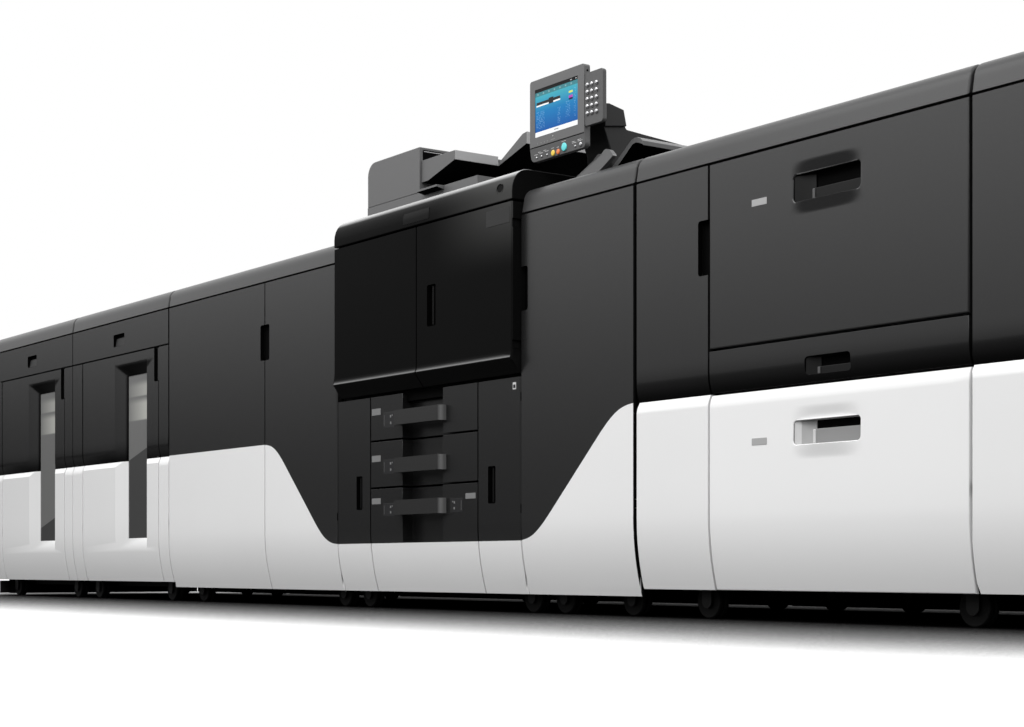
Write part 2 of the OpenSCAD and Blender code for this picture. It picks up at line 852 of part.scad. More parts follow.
module middle_drawer(x) {
    color(dark)
        drawer(x, split_z + half, upper_seam_z - half, middle_bay, middle_tray_h,
               small_pocket_w, small_pocket_h, small_pocket_z, pocket_x(x) + small_pocket_in);
}
module lower_drawer(x) {
    color(pale)
        drawer(x, end_skirt_z, split_z - half, lower_bay, lower_tray_h,
               pocket_w, lower_pocket_h, lower_pocket_z, pocket_x(x));
}
module feeder_1_upper_drawer() { upper_drawer(feeder_1_x); }
module feeder_1_middle_drawer() { middle_drawer(feeder_1_x); }
module feeder_1_lower_drawer() { lower_drawer(feeder_1_x); }
module feeder_2_upper_drawer() { upper_drawer(feeder_2_x); }
module feeder_2_middle_drawer() { middle_drawer(feeder_2_x); }
module feeder_2_lower_drawer() { lower_drawer(feeder_2_x); }

// ---- Document feeder on the scanner deck ----

head_x0 = engine_x + 20;
head_y0 = front_y + 100;
lid_h = 54;
lid_gap = 0.3;
box_w = 304;
// The lid turns on two posts that stand on the deck in notches of its rear edge
lid_pin_y = head_y0 + feeder_head_d - 12;
lid_pin_z = deck_z + 30;
post_w = 24;
post_d = 8;
LID_POSTS = [head_x0 + 110, head_x0 + feeder_head_w - 110];
post_gap = 2;
rear_bevel = 16;
module document_cover() {
    lip_x0 = head_x0 + 330;
    lip_w = 110;
    y1 = head_y0 + feeder_head_d;
    color(grey) {
        difference() {
            along_x(head_x0, feeder_head_w, [
                [head_y0, deck_z + lid_gap], [y1 - rear_bevel, deck_z + lid_gap],
                [y1, deck_z + lid_gap + rear_bevel], [y1, deck_z + lid_h],
                [head_y0, deck_z + lid_h]
            ]);
            for (x = LID_POSTS) {
                box(x - post_w / 2 - post_gap, lid_pin_y - 40, deck_z - 1,
                    post_w + 2 * post_gap, 60, lid_h - 8);
                translate([x, lid_pin_y, lid_pin_z])
                    rotate([0, 90, 0])
                        cylinder(r = 4 + pin_play, h = post_w + 44, center = true, $fn = 24);
            }
        }
        along_x(lip_x0, lip_w, [
            [head_y0 - 26, deck_z + 48], [head_y0 + 1, deck_z + 42],
            [head_y0 + 1, deck_z + lid_h], [head_y0 - 26, deck_z + lid_h]
        ]);
    }
}

module document_feeder() {
    z0 = deck_z + lid_h;
    z1 = deck_z + feeder_head_h;
    r = 42;
    n = 6;
    color(grey)
        along_y(head_y0, feeder_head_d, concat(
            [[head_x0, z0]],
            [for (k = [0 : n]) let (a = 90 * k / n)
                [head_x0 + r * (1 - cos(a)), z1 - r + r * sin(a)]],
            [[head_x0 + box_w, z1], [head_x0 + box_w, z0]]));
}

// The tray: a front wedge and, further back, a plate that rises to the right
tray_front_d = 156;
tray_rear_d = 300;
module document_tray() {
    x0 = head_x0 + box_w;
    z0 = deck_z;
    color(grey) {
        along_y(head_y0 + 8, tray_front_d, [
            [x0, z0 + 85], [x0 + 36, z0 + 85], [x0 + 184, z0 + 124], [x0 + 184, z0 + 152],
            [x0, z0 + 152]
        ]);
        along_y(head_y0 + 8 + tray_front_d, tray_rear_d, [
            [x0, z0 + 90], [x0 + 186, z0 + 122], [x0 + 330, z0 + 164], [x0 + 330, z0 + 200],
            [x0 + 308, z0 + 197], [x0 + 184, z0 + 132], [x0, z0 + 132]
        ]);
    }
}

// ---- Control panel ----

hub_x0 = print_x + 96;
hub_x1 = print_x + 218;
hub_y0 = front_y + 120;
hub_y1 = front_y + 194;
hub_z = 1300;
pivot_y = front_y + 104;
pivot_z = panel_z + 106;
pivot_r = 9;
pivot_pin_r = 5;
arm_t = 18;
// Housing that runs back from the column
back_y = front_y + 560;
back_fall = 24;
module panel_column() {
    color(dark) {
        along_x(hub_x0 + 8, hub_x1 - hub_x0 - 16, [
            [hub_y0 + 30, top_z], [back_y, top_z], [back_y, hub_z - 2 * back_fall],
            [back_y - 20, hub_z - back_fall], [hub_y1 + 6, hub_z - 1],
            [hub_y1 - 2, hub_z + 8], [hub_y0, hub_z - 2], [hub_y0 + 27, hub_z - 64]
        ]);
        along_x(hub_x0, hub_x1 - hub_x0, [
            [hub_y0, hub_z - 2], [hub_y1, hub_z + 8], [hub_y1 - 10, hub_z + 50],
            [hub_y0 + 14, hub_z + 61], [hub_y0, hub_z + 59]
        ]);
        // two arms that carry the panel's pin
        for (x = [hub_x0 + 4, hub_x1 - 4 - arm_t])
            box(x, pivot_y - pivot_r - 3, pivot_z - pivot_r - 4, arm_t,
                hub_y0 - pivot_y + pivot_r + 4, 2 * pivot_r + 8);
        translate([(hub_x0 + hub_x1) / 2, pivot_y, pivot_z])
            rotate([0, 90, 0])
                cylinder(r = pivot_pin_r, h = hub_x1 - hub_x0 - 12, center = true, $fn = 24);
    }
}

panel_y0 = front_y + 50;
keypad_h = 140;
keypad_z = 53;
keypad_t = 15;
keypad_in = 2;
module control_panel() {
    x0 = print_x - 27;
    keys_h = 38;
    lug_x0 = hub_x0 + 4 + arm_t + 2;
    color(grey) {
        // body, with the key row's face leaning in at its foot
        along_x(x0, panel_w, [
            [panel_y0, panel_z + keys_h], [panel_y0 + 6, panel_z],
            [panel_y0 + panel_body_t, panel_z + 4],
            [panel_y0 + panel_body_t, panel_z + panel_h - 12],
            [panel_y0 + panel_body_t - 3, panel_z + panel_h - 4],
            [panel_y0 + panel_body_t - 10, panel_z + panel_h], [panel_y0, panel_z + panel_h]
        ]);
        // lug between the column's two arms
        difference() {
            box(lug_x0, panel_y0 + panel_body_t - 1, pivot_z - pivot_r,
                hub_x0 + hub_x1 - 2 * lug_x0, pivot_y + pivot_r - panel_y0 - panel_body_t + 1,
                2 * pivot_r);
            translate([(hub_x0 + hub_x1) / 2, pivot_y, pivot_z])
                rotate([0, 90, 0])
                    cylinder(r = pivot_pin_r + pin_play, h = 200, center = true, $fn = 24);
        }
        // keypad beside the screen
        box(x0 + panel_w - 1, panel_y0 + keypad_in, panel_z + keypad_z, keypad_w + 1, keypad_t,
            keypad_h);
    }
}

// ---- Guides and tray on top of the print unit ----

// Two slanted guides, one behind the other, as [x, z] points from the print unit's corner
guide_t = 13;
guide_y = 80;
guide_step_x = -55;
guide_step_y = 20;
GUIDE = [
    [116, 0], [157, 17], [246, 54], [266, 69], [285, 64], [302, 46], [246, 17], [213, 0]
];
module paper_guides() {
    color(grey)
        for (k = [0, 1])
            translate([print_x + k * guide_step_x, 0, top_z])
                along_y(front_y + guide_y + k * guide_step_y, guide_t, GUIDE);
}

// Curved sheet that rises to the right
exit_y = 140;
exit_d = 430;
EXIT = [
    [222, 0], [222, 38], [254, 60], [300, 93], [312, 97], [324, 97], [338, 92], [350, 83],
    [350, 72], [336, 78], [322, 82], [308, 80], [262, 46], [236, 28], [236, 0]
];
module exit_tray() {
    color(grey)
        translate([print_x, 0, top_z])
            along_y(front_y + exit_y, exit_d, EXIT);
}

// ---- Hinged doors, their pins and the rails ----

low_hinge_z = 285;
stacker_foot = stacker_strip_l + pin_side - wall_t;
tall_hinges = [low_hinge_z, 1000];
stacker_hinges = [low_hinge_z, 880];
cover_hinges = [low_hinge_z, 590];
engine_hinges = [730, 1060];
// Each hinged door as [hinge edge, side, face y, pin heights, foot]
DOORS = [
    [stacker_door_x(stacker_1_x), 1, front_y, stacker_hinges, stacker_foot],
    [stacker_door_x(stacker_2_x), 1, front_y, stacker_hinges, stacker_foot],
    [delivery_x + half, 1, front_y, tall_hinges, 0],
    [delivery_x + delivery_w - half, -1, front_y, tall_hinges, 0],
    [engine_door_x0, 1, front_y - engine_proud, engine_hinges, 0],
    [engine_door_x1, -1, front_y - engine_proud, engine_hinges, 0],
    [engine_x + half, 1, front_y, cover_hinges, 0],
    [engine_x + engine_w - half, -1, front_y, cover_hinges, 0],
    [print_x + print_w - half, -1, front_y, tall_hinges, 0],
    [feeder_1_x + half, 1, front_y, tall_hinges, 0],
    [feeder_2_x + half, 1, front_y, tall_hinges, 0]
];
module door_cuts(k, t = panel_t) {
    hinge_cuts(DOORS[k][0], DOORS[k][1], DOORS[k][2], t, DOORS[k][3]);
}

module hinges() {
    color("#8c8c8c") {
        for (d = DOORS, z = d[3]) hinge_arm(d[0], d[1], d[2], z, d[4]);
        // pins and posts behind the document feeder
        for (x = LID_POSTS) {
            box(x - post_w / 2, lid_pin_y, deck_z, post_w, post_d, lid_pin_z - deck_z);
            translate([x, lid_pin_y, lid_pin_z])
                rotate([0, 90, 0])
                    cylinder(r = 8, h = post_w, center = true, $fn = 32);
            translate([x, lid_pin_y, lid_pin_z])
                rotate([0, 90, 0])
                    cylinder(r = 4, h = post_w + 36, center = true, $fn = 24);
        }
    }
}

// Rails under both sides of each drawer and cassette
module drawer_rails() {
    color("#8c8c8c") {
        for (fx = [feeder_1_x, feeder_2_x], b = BAYS, x = [drawer_x0(fx) + wall_t,
                drawer_x1(fx) - wall_t - rail_w])
            box(x, cabinet_y + 4, b[0], rail_w, bay_d - 8, drawer_gap - rail_play);
        for (z = CASSETTE_TRAYS, x = [cassette_x0 + half, cassette_x1 - half - rail_w])
            box(x, cabinet_y + 4, z - rail_play - rail_t, rail_w, cassette_bay_d - 8, rail_t);
    }
}

caster_wheels();
caster_forks();
base_frames();
top_covers();
hinges();
drawer_rails();
stacker_1_cabinet();
stacker_2_cabinet();
stacker_tables();
stacker_fronts();
stacker_1_door();
stacker_2_door();
stacker_1_window();
stacker_2_window();
delivery_cabinet();
delivery_left_door();
delivery_right_door();
engine_cabinet();
engine_top_cover();
engine_left_door();
engine_right_door();
engine_lower_left_cover();
engine_lower_right_cover();
cassette_1();
cassette_2();
cassette_3();
print_cabinet();
print_door();
feeder_1_cabinet();
feeder_2_cabinet();
feeder_1_side_door();
feeder_2_side_door();
feeder_1_upper_drawer();
feeder_1_middle_drawer();
feeder_1_lower_drawer();
feeder_2_upper_drawer();
feeder_2_middle_drawer();
feeder_2_lower_drawer();
document_cover();
document_feeder();
document_tray();
panel_column();
control_panel();
paper_guides();
exit_tray();
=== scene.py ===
import json
import math

import bmesh
import bpy
from bpy.props import FloatProperty, FloatVectorProperty, PointerProperty
from bpy.types import Operator, Panel, PropertyGroup
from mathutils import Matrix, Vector


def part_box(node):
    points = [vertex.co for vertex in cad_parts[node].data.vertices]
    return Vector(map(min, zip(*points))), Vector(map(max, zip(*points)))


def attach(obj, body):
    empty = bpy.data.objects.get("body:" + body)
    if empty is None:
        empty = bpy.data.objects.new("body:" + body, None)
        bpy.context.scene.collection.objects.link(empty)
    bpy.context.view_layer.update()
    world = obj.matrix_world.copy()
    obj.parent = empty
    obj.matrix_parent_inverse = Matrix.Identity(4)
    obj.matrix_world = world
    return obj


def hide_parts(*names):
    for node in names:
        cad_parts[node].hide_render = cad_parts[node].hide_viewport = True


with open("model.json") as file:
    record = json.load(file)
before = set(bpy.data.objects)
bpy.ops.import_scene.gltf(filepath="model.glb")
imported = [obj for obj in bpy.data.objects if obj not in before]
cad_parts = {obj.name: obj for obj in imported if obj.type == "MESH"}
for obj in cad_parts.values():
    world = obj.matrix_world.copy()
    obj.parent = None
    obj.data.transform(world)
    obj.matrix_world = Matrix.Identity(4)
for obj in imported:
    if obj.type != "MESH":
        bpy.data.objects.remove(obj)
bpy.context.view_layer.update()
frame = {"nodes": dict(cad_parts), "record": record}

bl_info = {
    "name": "Production Printer Line",
    "version": (1, 0, 0),
    "blender": (4, 5, 0),
    "location": "View3D > Sidebar > Printer Line",
    "description": "Dresses the printer line's solids with panels, handles, screen and finishes",
    "category": "Object",
}


def node_box(name):
    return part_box(name)


# Places along the line, in metres, from the solids themselves
FRONT = node_box("top_covers")[0].y
REAR = node_box("top_covers")[1].y
DECK = node_box("engine_top_cover")[1].z
GAP = 0.003
STACKER_1_X = node_box("stacker_1_cabinet")[0].x - GAP
STACKER_2_X = node_box("stacker_2_cabinet")[0].x - GAP
DELIVERY_X = node_box("delivery_cabinet")[0].x - GAP
ENGINE_X = node_box("engine_cabinet")[0].x - GAP
PRINT_X = node_box("print_cabinet")[0].x - GAP
FEEDER_1_X = node_box("feeder_1_cabinet")[0].x - GAP
FEEDER_2_X = node_box("feeder_2_cabinet")[0].x - GAP
LINE_END = node_box("feeder_2_cabinet")[1].x + GAP
ENGINE_FRONT = node_box("engine_right_door")[0].y
# Heights of the pale parts' upper edges, of the chamfer below the higher one, and of the engine cover's
# edge, where a highlight is painted
SPLIT_Z = 0.536
LOW_SPLIT_Z = 0.198
CHAMFER_Z = 0.516
COVER_EDGE_Z = 1.135
# The picture on the control panel's screen
SCREEN_X0, SCREEN_X1 = PRINT_X - 0.003, PRINT_X + 0.188
SCREEN_Z0, SCREEN_Z1 = 1.298, 1.428
# Dark strip on each side of the joint between the print unit and the first feeder
JOINT_W = 0.004
RAMP_STEPS = 7
AXES = {"X": Vector((1, 0, 0)), "Y": Vector((0, 1, 0)), "Z": Vector((0, 0, 1))}


class LineSizes(PropertyGroup):
    """Sizes a user would change"""
    edge: FloatProperty(name="Edge Radius", description="Rounding of the panels' edges",
                        default=0.003, min=0.0005, max=0.004, unit="LENGTH")
    dish: FloatProperty(name="Dish Depth",
                        description="Depth of the soft dish round a drawer's finger pocket",
                        default=0.0115, min=0.0, max=0.012, unit="LENGTH")
    key: FloatProperty(name="Key Width", description="Width of a key on the keypad",
                       default=0.0125, min=0.008, max=0.016, unit="LENGTH")
    camera_height: FloatProperty(name="Camera Height", description="Height of the camera above the floor",
                                 default=0.126, unit="LENGTH")


class LineColours(PropertyGroup):
    """Colours a user would change"""
    dark: FloatVectorProperty(name="Dark Panels", description="Colour of the dark plastic panels",
                              default=(0.012, 0.012, 0.0122), subtype="COLOR", min=0, max=1)
    pale: FloatVectorProperty(name="Pale Panels", description="Colour of the pale plastic panels",
                              default=(0.84, 0.84, 0.84), subtype="COLOR", min=0, max=1)
    cover: FloatVectorProperty(name="Top Covers", description="Colour of the rounded top covers",
                               default=(0.036, 0.036, 0.0364), subtype="COLOR", min=0, max=1)
    gloss: FloatVectorProperty(name="Gloss Black", description="Colour of the gloss black doors",
                               default=(0.006, 0.006, 0.006), subtype="COLOR", min=0, max=1)
    grey: FloatVectorProperty(name="Scanner Grey", description="Colour of the scanner and screen housing",
                              default=(0.11, 0.11, 0.111), subtype="COLOR", min=0, max=1)


# ---- Materials -------------------------------------------------------------

def new_material(name):
    """A new material with only its shader and output."""
    mat = bpy.data.materials.new(name)
    mat.use_nodes = True
    return mat, mat.node_tree, mat.node_tree.nodes["Principled BSDF"]


def add(tree, kind, **values):
    node = tree.nodes.new(kind)
    for key, value in values.items():
        setattr(node, key, value)
    return node


def math_node(tree, operation, a, b=None, c=None):
    """A Math node; each input is a number or a socket. Returns its output."""
    node = add(tree, "ShaderNodeMath", operation=operation)
    for k, value in enumerate((a, b, c)):
        if value is None:
            continue
        if hasattr(value, "is_output"):
            tree.links.new(value, node.inputs[k])
        else:
            node.inputs[k].default_value = value
    return node.outputs[0]


def mix_colour(tree, factor, a, b):
    """A colour Mix node; a and b are colours or sockets. Returns its output."""
    node = add(tree, "ShaderNodeMix", data_type="RGBA")
    for socket, value in ((node.inputs[0], factor), (node.inputs[6], a), (node.inputs[7], b)):
        if hasattr(value, "is_output"):
            tree.links.new(value, socket)
        elif socket is node.inputs[0]:
            socket.default_value = value
        else:
            socket.default_value = (*value[:3], 1)
    return node.outputs[2]


def axes(tree, source):
    """The X, Y and Z of a vector socket."""
    parts = add(tree, "ShaderNodeSeparateXYZ")
    tree.links.new(source, parts.inputs[0])
    return [parts.outputs[axis] for axis in "XYZ"]

def moulded_group():
    """Moulded plastic: fine grain as a normal, and a faint tone that varies over the surface."""
    group = bpy.data.node_groups.new("moulded_grain", "ShaderNodeTree")
    face = group.interface
    size = face.new_socket(name="Grain", in_out="INPUT", socket_type="NodeSocketFloat")
    size.default_value = 900.0
    deep = face.new_socket(name="Depth", in_out="INPUT", socket_type="NodeSocketFloat")
    deep.default_value = 0.05
    face.new_socket(name="Normal", in_out="OUTPUT", socket_type="NodeSocketVector")
    face.new_socket(name="Tone", in_out="OUTPUT", socket_type="NodeSocketFloat")
    face.new_socket(name="Roughness", in_out="OUTPUT", socket_type="NodeSocketFloat")
    entry = group.nodes.new("NodeGroupInput")
    leave = group.nodes.new("NodeGroupOutput")
    coords = add(group, "ShaderNodeTexCoord")
    fine = add(group, "ShaderNodeTexNoise")
    fine.inputs["Detail"].default_value = 2.0
    group.links.new(entry.outputs["Grain"], fine.inputs["Scale"])
    group.links.new(coords.outputs["Object"], fine.inputs["Vector"])
    bump = add(group, "ShaderNodeBump")
    bump.inputs["Distance"].default_value = 0.0004
    group.links.new(entry.outputs["Depth"], bump.inputs["Strength"])
    group.links.new(fine.outputs["Fac"], bump.inputs["Height"])
    group.links.new(bump.outputs["Normal"], leave.inputs["Normal"])
    broad = add(group, "ShaderNodeTexNoise")
    broad.inputs["Scale"].default_value = 1.6
    broad.inputs["Detail"].default_value = 3.0
    group.links.new(coords.outputs["Object"], broad.inputs["Vector"])
    tone = add(group, "ShaderNodeMapRange")
    tone.inputs["To Min"].default_value = 0.965
    tone.inputs["To Max"].default_value = 1.035
    group.links.new(broad.outputs["Fac"], tone.inputs["Value"])
    group.links.new(tone.outputs["Result"], leave.inputs["Tone"])
    rough = add(group, "ShaderNodeMapRange")
    rough.inputs["To Min"].default_value = -0.03
    rough.inputs["To Max"].default_value = 0.03
    group.links.new(fine.outputs["Fac"], rough.inputs["Value"])
    group.links.new(rough.outputs["Result"], leave.inputs["Roughness"])
    return group


def ramp_node(tree, value, low, high, at_low=0.0, at_high=1.0):
    """A soft step of a value between two limits. Returns its output."""
    node = add(tree, "ShaderNodeMapRange", interpolation_type="SMOOTHSTEP")
    for name, number in (("From Min", low), ("From Max", high), ("To Min", at_low), ("To Max", at_high)):
        node.inputs[name].default_value = number
    tree.links.new(value, node.inputs["Value"])
    return node.outputs["Result"]


def moulded(name, colour, rough=0.3, grain=900.0, depth=0.05, split=None, pale=(0.8, 0.8, 0.8), shine=0.5,
            painted_highlight=None, painted_shade=None, painted_light=None, painted_side_light=None):
    """A moulded plastic. split(tree, x, z) returns the mask of its pale part. Its other arguments paint light
    and shade into its colour: a painted shade that darkens its dark part, the mask of a painted sheen, a
    painted highlight's colour where it turns upwards and a lighter painted colour where it turns right."""
    mat, tree, shader = new_material(name)
    shader.inputs["Specular IOR Level"].default_value = shine
    group = add(tree, "ShaderNodeGroup", node_tree=bpy.data.node_groups["moulded_grain"])
    group.inputs["Grain"].default_value = grain
    group.inputs["Depth"].default_value = depth
    base = (*colour, 1)
    x, y, z = axes(tree, add(tree, "ShaderNodeTexCoord").outputs["Object"])
    if split is not None:
        mask = split(tree, x, z)
        dark = colour
        if painted_shade is not None:
            # painted shade: this tone darkens the dark part's colour and its reflection
            tone = math_node(tree, "MAXIMUM", painted_shade(tree, x, z), mask)
            dark = mix_colour(tree, tone, (0.001, 0.001, 0.001), colour)
            tree.links.new(math_node(tree, "MULTIPLY", tone, shine), shader.inputs["Specular IOR Level"])
        # painted shade: the pale part is a little darker towards its foot, where it curves under
        painted_foot_shade = mix_colour(tree, ramp_node(tree, z, 0.06, 0.34), tuple(v * 0.84 for v in pale), pale)
        base = mix_colour(tree, mask, dark, painted_foot_shade)
    if painted_highlight is not None:
        _, ahead, up = axes(tree, add(tree, "ShaderNodeNewGeometry").outputs["Normal"])
        front = ramp_node(tree, ahead, -0.3, -0.85)
        # painted sheen: faces that look ahead get a lighter colour under the sheen's mask
        base = mix_colour(tree, math_node(tree, "MULTIPLY", front, painted_light(tree, x, z)), colour,
                          (0.055, 0.055, 0.054))
        # painted highlight, only along the cover's front edge: the deck behind it and the tops of the doors
        # stay plain
        edge = math_node(tree, "MULTIPLY", ramp_node(tree, up, 0.52, 0.82),
                         ramp_node(tree, y, FRONT + 0.048, FRONT + 0.024))
        edge = math_node(tree, "MULTIPLY", edge, math_node(tree, "GREATER_THAN", z, COVER_EDGE_Z))
        base = mix_colour(tree, edge, base, painted_highlight)
        # and a fainter painted highlight along the ridge over the doors' lower chamfer
        ridge_highlight = math_node(tree, "MULTIPLY", ramp_node(tree, up, 0.12, 0.42),
                          math_node(tree, "LESS_THAN", z, 0.72))
        base = mix_colour(tree, ridge_highlight, base, tuple(v * 0.38 for v in painted_highlight))
    if painted_side_light is not None:
        # painted light: faces that turn right get a lighter colour
        across, _, _ = axes(tree, add(tree, "ShaderNodeNewGeometry").outputs["Normal"])
        base = mix_colour(tree, ramp_node(tree, across, 0.15, 0.95), base, painted_side_light)
    toned = add(tree, "ShaderNodeMix", data_type="RGBA", blend_type="MULTIPLY")
    toned.inputs[0].default_value = 1.0
    if hasattr(base, "is_output"):
        tree.links.new(base, toned.inputs[6])
    else:
        toned.inputs[6].default_value = base
    tree.links.new(group.outputs["Tone"], toned.inputs[7])
    tree.links.new(toned.outputs[2], shader.inputs["Base Color"])
    tree.links.new(group.outputs["Normal"], shader.inputs["Normal"])
    tree.links.new(math_node(tree, "ADD", group.outputs["Roughness"], rough), shader.inputs["Roughness"])
    return mat


def below(height):
    """Mask of all that lies below a height."""
    def split(tree, x, z):
        return math_node(tree, "LESS_THAN", z, height)
    return split


def painted_bulge_shade(tree, x, z):
    """Painted shade of the dark part, which turns under above the pale part."""
    return ramp_node(tree, z, SPLIT_Z, 0.628, 0.08, 1.0)


def painted_window_shade(x0, x1, top):
    """Painted shade of a stacker door: dark on the slope over its window and close beside the pane."""
    def painted_shade(tree, x, z):
        aside = math_node(tree, "MAXIMUM", math_node(tree, "SUBTRACT", x0, x),
                          math_node(tree, "SUBTRACT", x, x1))
        over = math_node(tree, "SUBTRACT", z, top)
        beside = math_node(tree, "MAXIMUM", ramp_node(tree, aside, 0.002, 0.024),
                           ramp_node(tree, over, 0.0, 0.01))
        lean = math_node(tree, "SUBTRACT", math_node(tree, "DIVIDE", over, 0.047),
                         math_node(tree, "DIVIDE", aside, 0.087))
        on_slope = math_node(tree, "MULTIPLY", ramp_node(tree, lean, -0.2, 0.1),
                             ramp_node(tree, over, 0.056, 0.036))
        tone = math_node(tree, "MINIMUM", beside, math_node(tree, "SUBTRACT", 1.0, on_slope))
        tone = math_node(tree, "MAXIMUM", tone, 0.06)
        return math_node(tree, "MULTIPLY", tone, painted_bulge_shade(tree, x, z))
    return painted_shade


def painted_sheen(tree, x, z):
    """Mask of a painted sheen at the engine's upper right."""
    return math_node(tree, "MULTIPLY", ramp_node(tree, x, 0.28, 0.74), ramp_node(tree, z, 0.93, 1.14))


def below_sweep(x0, z0, slope):
    """Mask below a swept line that joins the high split and the low one."""
    def split(tree, x, z):
        run = math_node(tree, "SUBTRACT", x, x0)
        line = math_node(tree, "MULTIPLY_ADD", run, slope, z0)
        high = math_node(tree, "SMOOTH_MIN", line, SPLIT_Z + 0.001, 0.09)
        low = math_node(tree, "SMOOTH_MAX", high, LOW_SPLIT_Z, 0.09)
        return math_node(tree, "LESS_THAN", z, low)
    return split


def metal(name, colour, rough=0.35, stretch=(1, 1, 1)):
    """Zinc-plated or brushed steel."""
    mat, tree, shader = new_material(name)
    shader.inputs["Base Color"].default_value = (*colour, 1)
    shader.inputs["Metallic"].default_value = 1.0
    coords = add(tree, "ShaderNodeTexCoord")
    place = add(tree, "ShaderNodeMapping")
    place.inputs["Scale"].default_value = stretch
    noise = add(tree, "ShaderNodeTexNoise")
    noise.inputs["Scale"].default_value = 220.0
    noise.inputs["Detail"].default_value = 4.0
    tree.links.new(coords.outputs["Object"], place.inputs["Vector"])
    tree.links.new(place.outputs["Vector"], noise.inputs["Vector"])
    tree.links.new(math_node(tree, "MULTIPLY_ADD", noise.outputs["Fac"], 0.14, rough - 0.07),
                   shader.inputs["Roughness"])
    return mat


def within(tree, value, low, high):
    """Mask of the values between two limits."""
    return math_node(tree, "COMPARE", value, (low + high) / 2, (high - low) / 2)


def screen_material(x0, x1, z0, z1):
    """The lit screen: bars, tiles and rows of plain marks on a blue ground."""
    mat, tree, shader = new_material("lit_screen")
    shader.inputs["Roughness"].default_value = 0.2
    shader.inputs["Specular IOR Level"].default_value = 0.12
    x, _, z = axes(tree, add(tree, "ShaderNodeTexCoord").outputs["Object"])
    u = math_node(tree, "DIVIDE", math_node(tree, "SUBTRACT", x, x0), x1 - x0)
    v = math_node(tree, "DIVIDE", math_node(tree, "SUBTRACT", z, z0), z1 - z0)
    ramp = add(tree, "ShaderNodeValToRGB")
    stops = ramp.color_ramp.elements
    stops[0].position, stops[0].color = 0.1, (0.004, 0.085, 0.33, 1)
    stops[1].position, stops[1].color = 0.85, (0.05, 0.36, 0.44, 1)
    middle = stops.new(0.5)
    middle.color = (0.006, 0.17, 0.42, 1)
    tree.links.new(v, ramp.inputs["Fac"])
    picture = ramp.outputs["Color"]

    def tile(u0, u1, v0, v1, colour):
        nonlocal picture
        mask = math_node(tree, "MULTIPLY", within(tree, u, u0, u1), within(tree, v, v0, v1))
        picture = mix_colour(tree, mask, picture, colour)

    # rows of plain marks
    place = add(tree, "ShaderNodeCombineXYZ")
    tree.links.new(math_node(tree, "FLOOR", math_node(tree, "MULTIPLY", u, 90.0)), place.inputs[0])
    tree.links.new(math_node(tree, "FLOOR", math_node(tree, "MULTIPLY", v, 30.0)), place.inputs[1])
    dice = add(tree, "ShaderNodeTexWhiteNoise")
    tree.links.new(place.outputs[0], dice.inputs["Vector"])
    rows = math_node(tree, "LESS_THAN", math_node(tree, "FRACT", math_node(tree, "MULTIPLY", v, 30.0)), 0.55)
    marks = math_node(tree, "MULTIPLY", rows, math_node(tree, "GREATER_THAN", dice.outputs["Value"], 0.45))
    for u0, u1, v0, v1 in ((0.03, 0.22, 0.17, 0.52), (0.53, 0.60, 0.15, 0.5), (0.72, 0.82, 0.22, 0.56),
                           (0.91, 0.95, 0.2, 0.84)):
        area = math_node(tree, "MULTIPLY", within(tree, u, u0, u1), within(tree, v, v0, v1))
        mask = math_node(tree, "MULTIPLY", math_node(tree, "MULTIPLY", area, marks), 0.2)
        picture = mix_colour(tree, mask, picture, (0.4, 0.7, 0.9))
    tile(0, 1, 0.845, 0.93, (0.045, 0.20, 0.23))
    for k in range(7):
        tile(0.05 + 0.13 * k, 0.08 + 0.13 * k, 0.87, 0.905, (0.2, 0.36, 0.38))
    tile(0, 1, 0.93, 1.01, (0.0, 0.0, 0.0))
    tile(0.82, 0.86, 0.955, 0.975, (0.4, 0.4, 0.4))
    tile(0.94, 0.97, 0.955, 0.975, (0.4, 0.4, 0.4))
    # a plain machine outline with its pale foot
    tile(0.03, 0.59, 0.63, 0.662, (0.85, 0.86, 0.86))
    tile(0.03, 0.59, 0.662, 0.722, (0.02, 0.022, 0.024))
    tile(0.32, 0.43, 0.625, 0.75, (0.015, 0.015, 0.017))
    # tiles at the right
    tile(0.79, 0.88, 0.705, 0.745, (0.62, 0.72, 0.12))
    tile(0.79, 0.88, 0.605, 0.655, (0.42, 0.06, 0.42))
    tile(0.79, 0.88, 0.565, 0.605, (0.01, 0.01, 0.05))
    # pale bar at the foot
    tile(0, 1, -0.01, 0.103, (0.82, 0.83, 0.84))
    tile(0.45, 0.55, 0.045, 0.065, (0.25, 0.26, 0.28))
    tree.links.new(picture, shader.inputs["Base Color"])
    tree.links.new(picture, shader.inputs["Emission Color"])
    shader.inputs["Emission Strength"].default_value = 0.12
    return mat


def material(name):
    return bpy.data.materials[name]


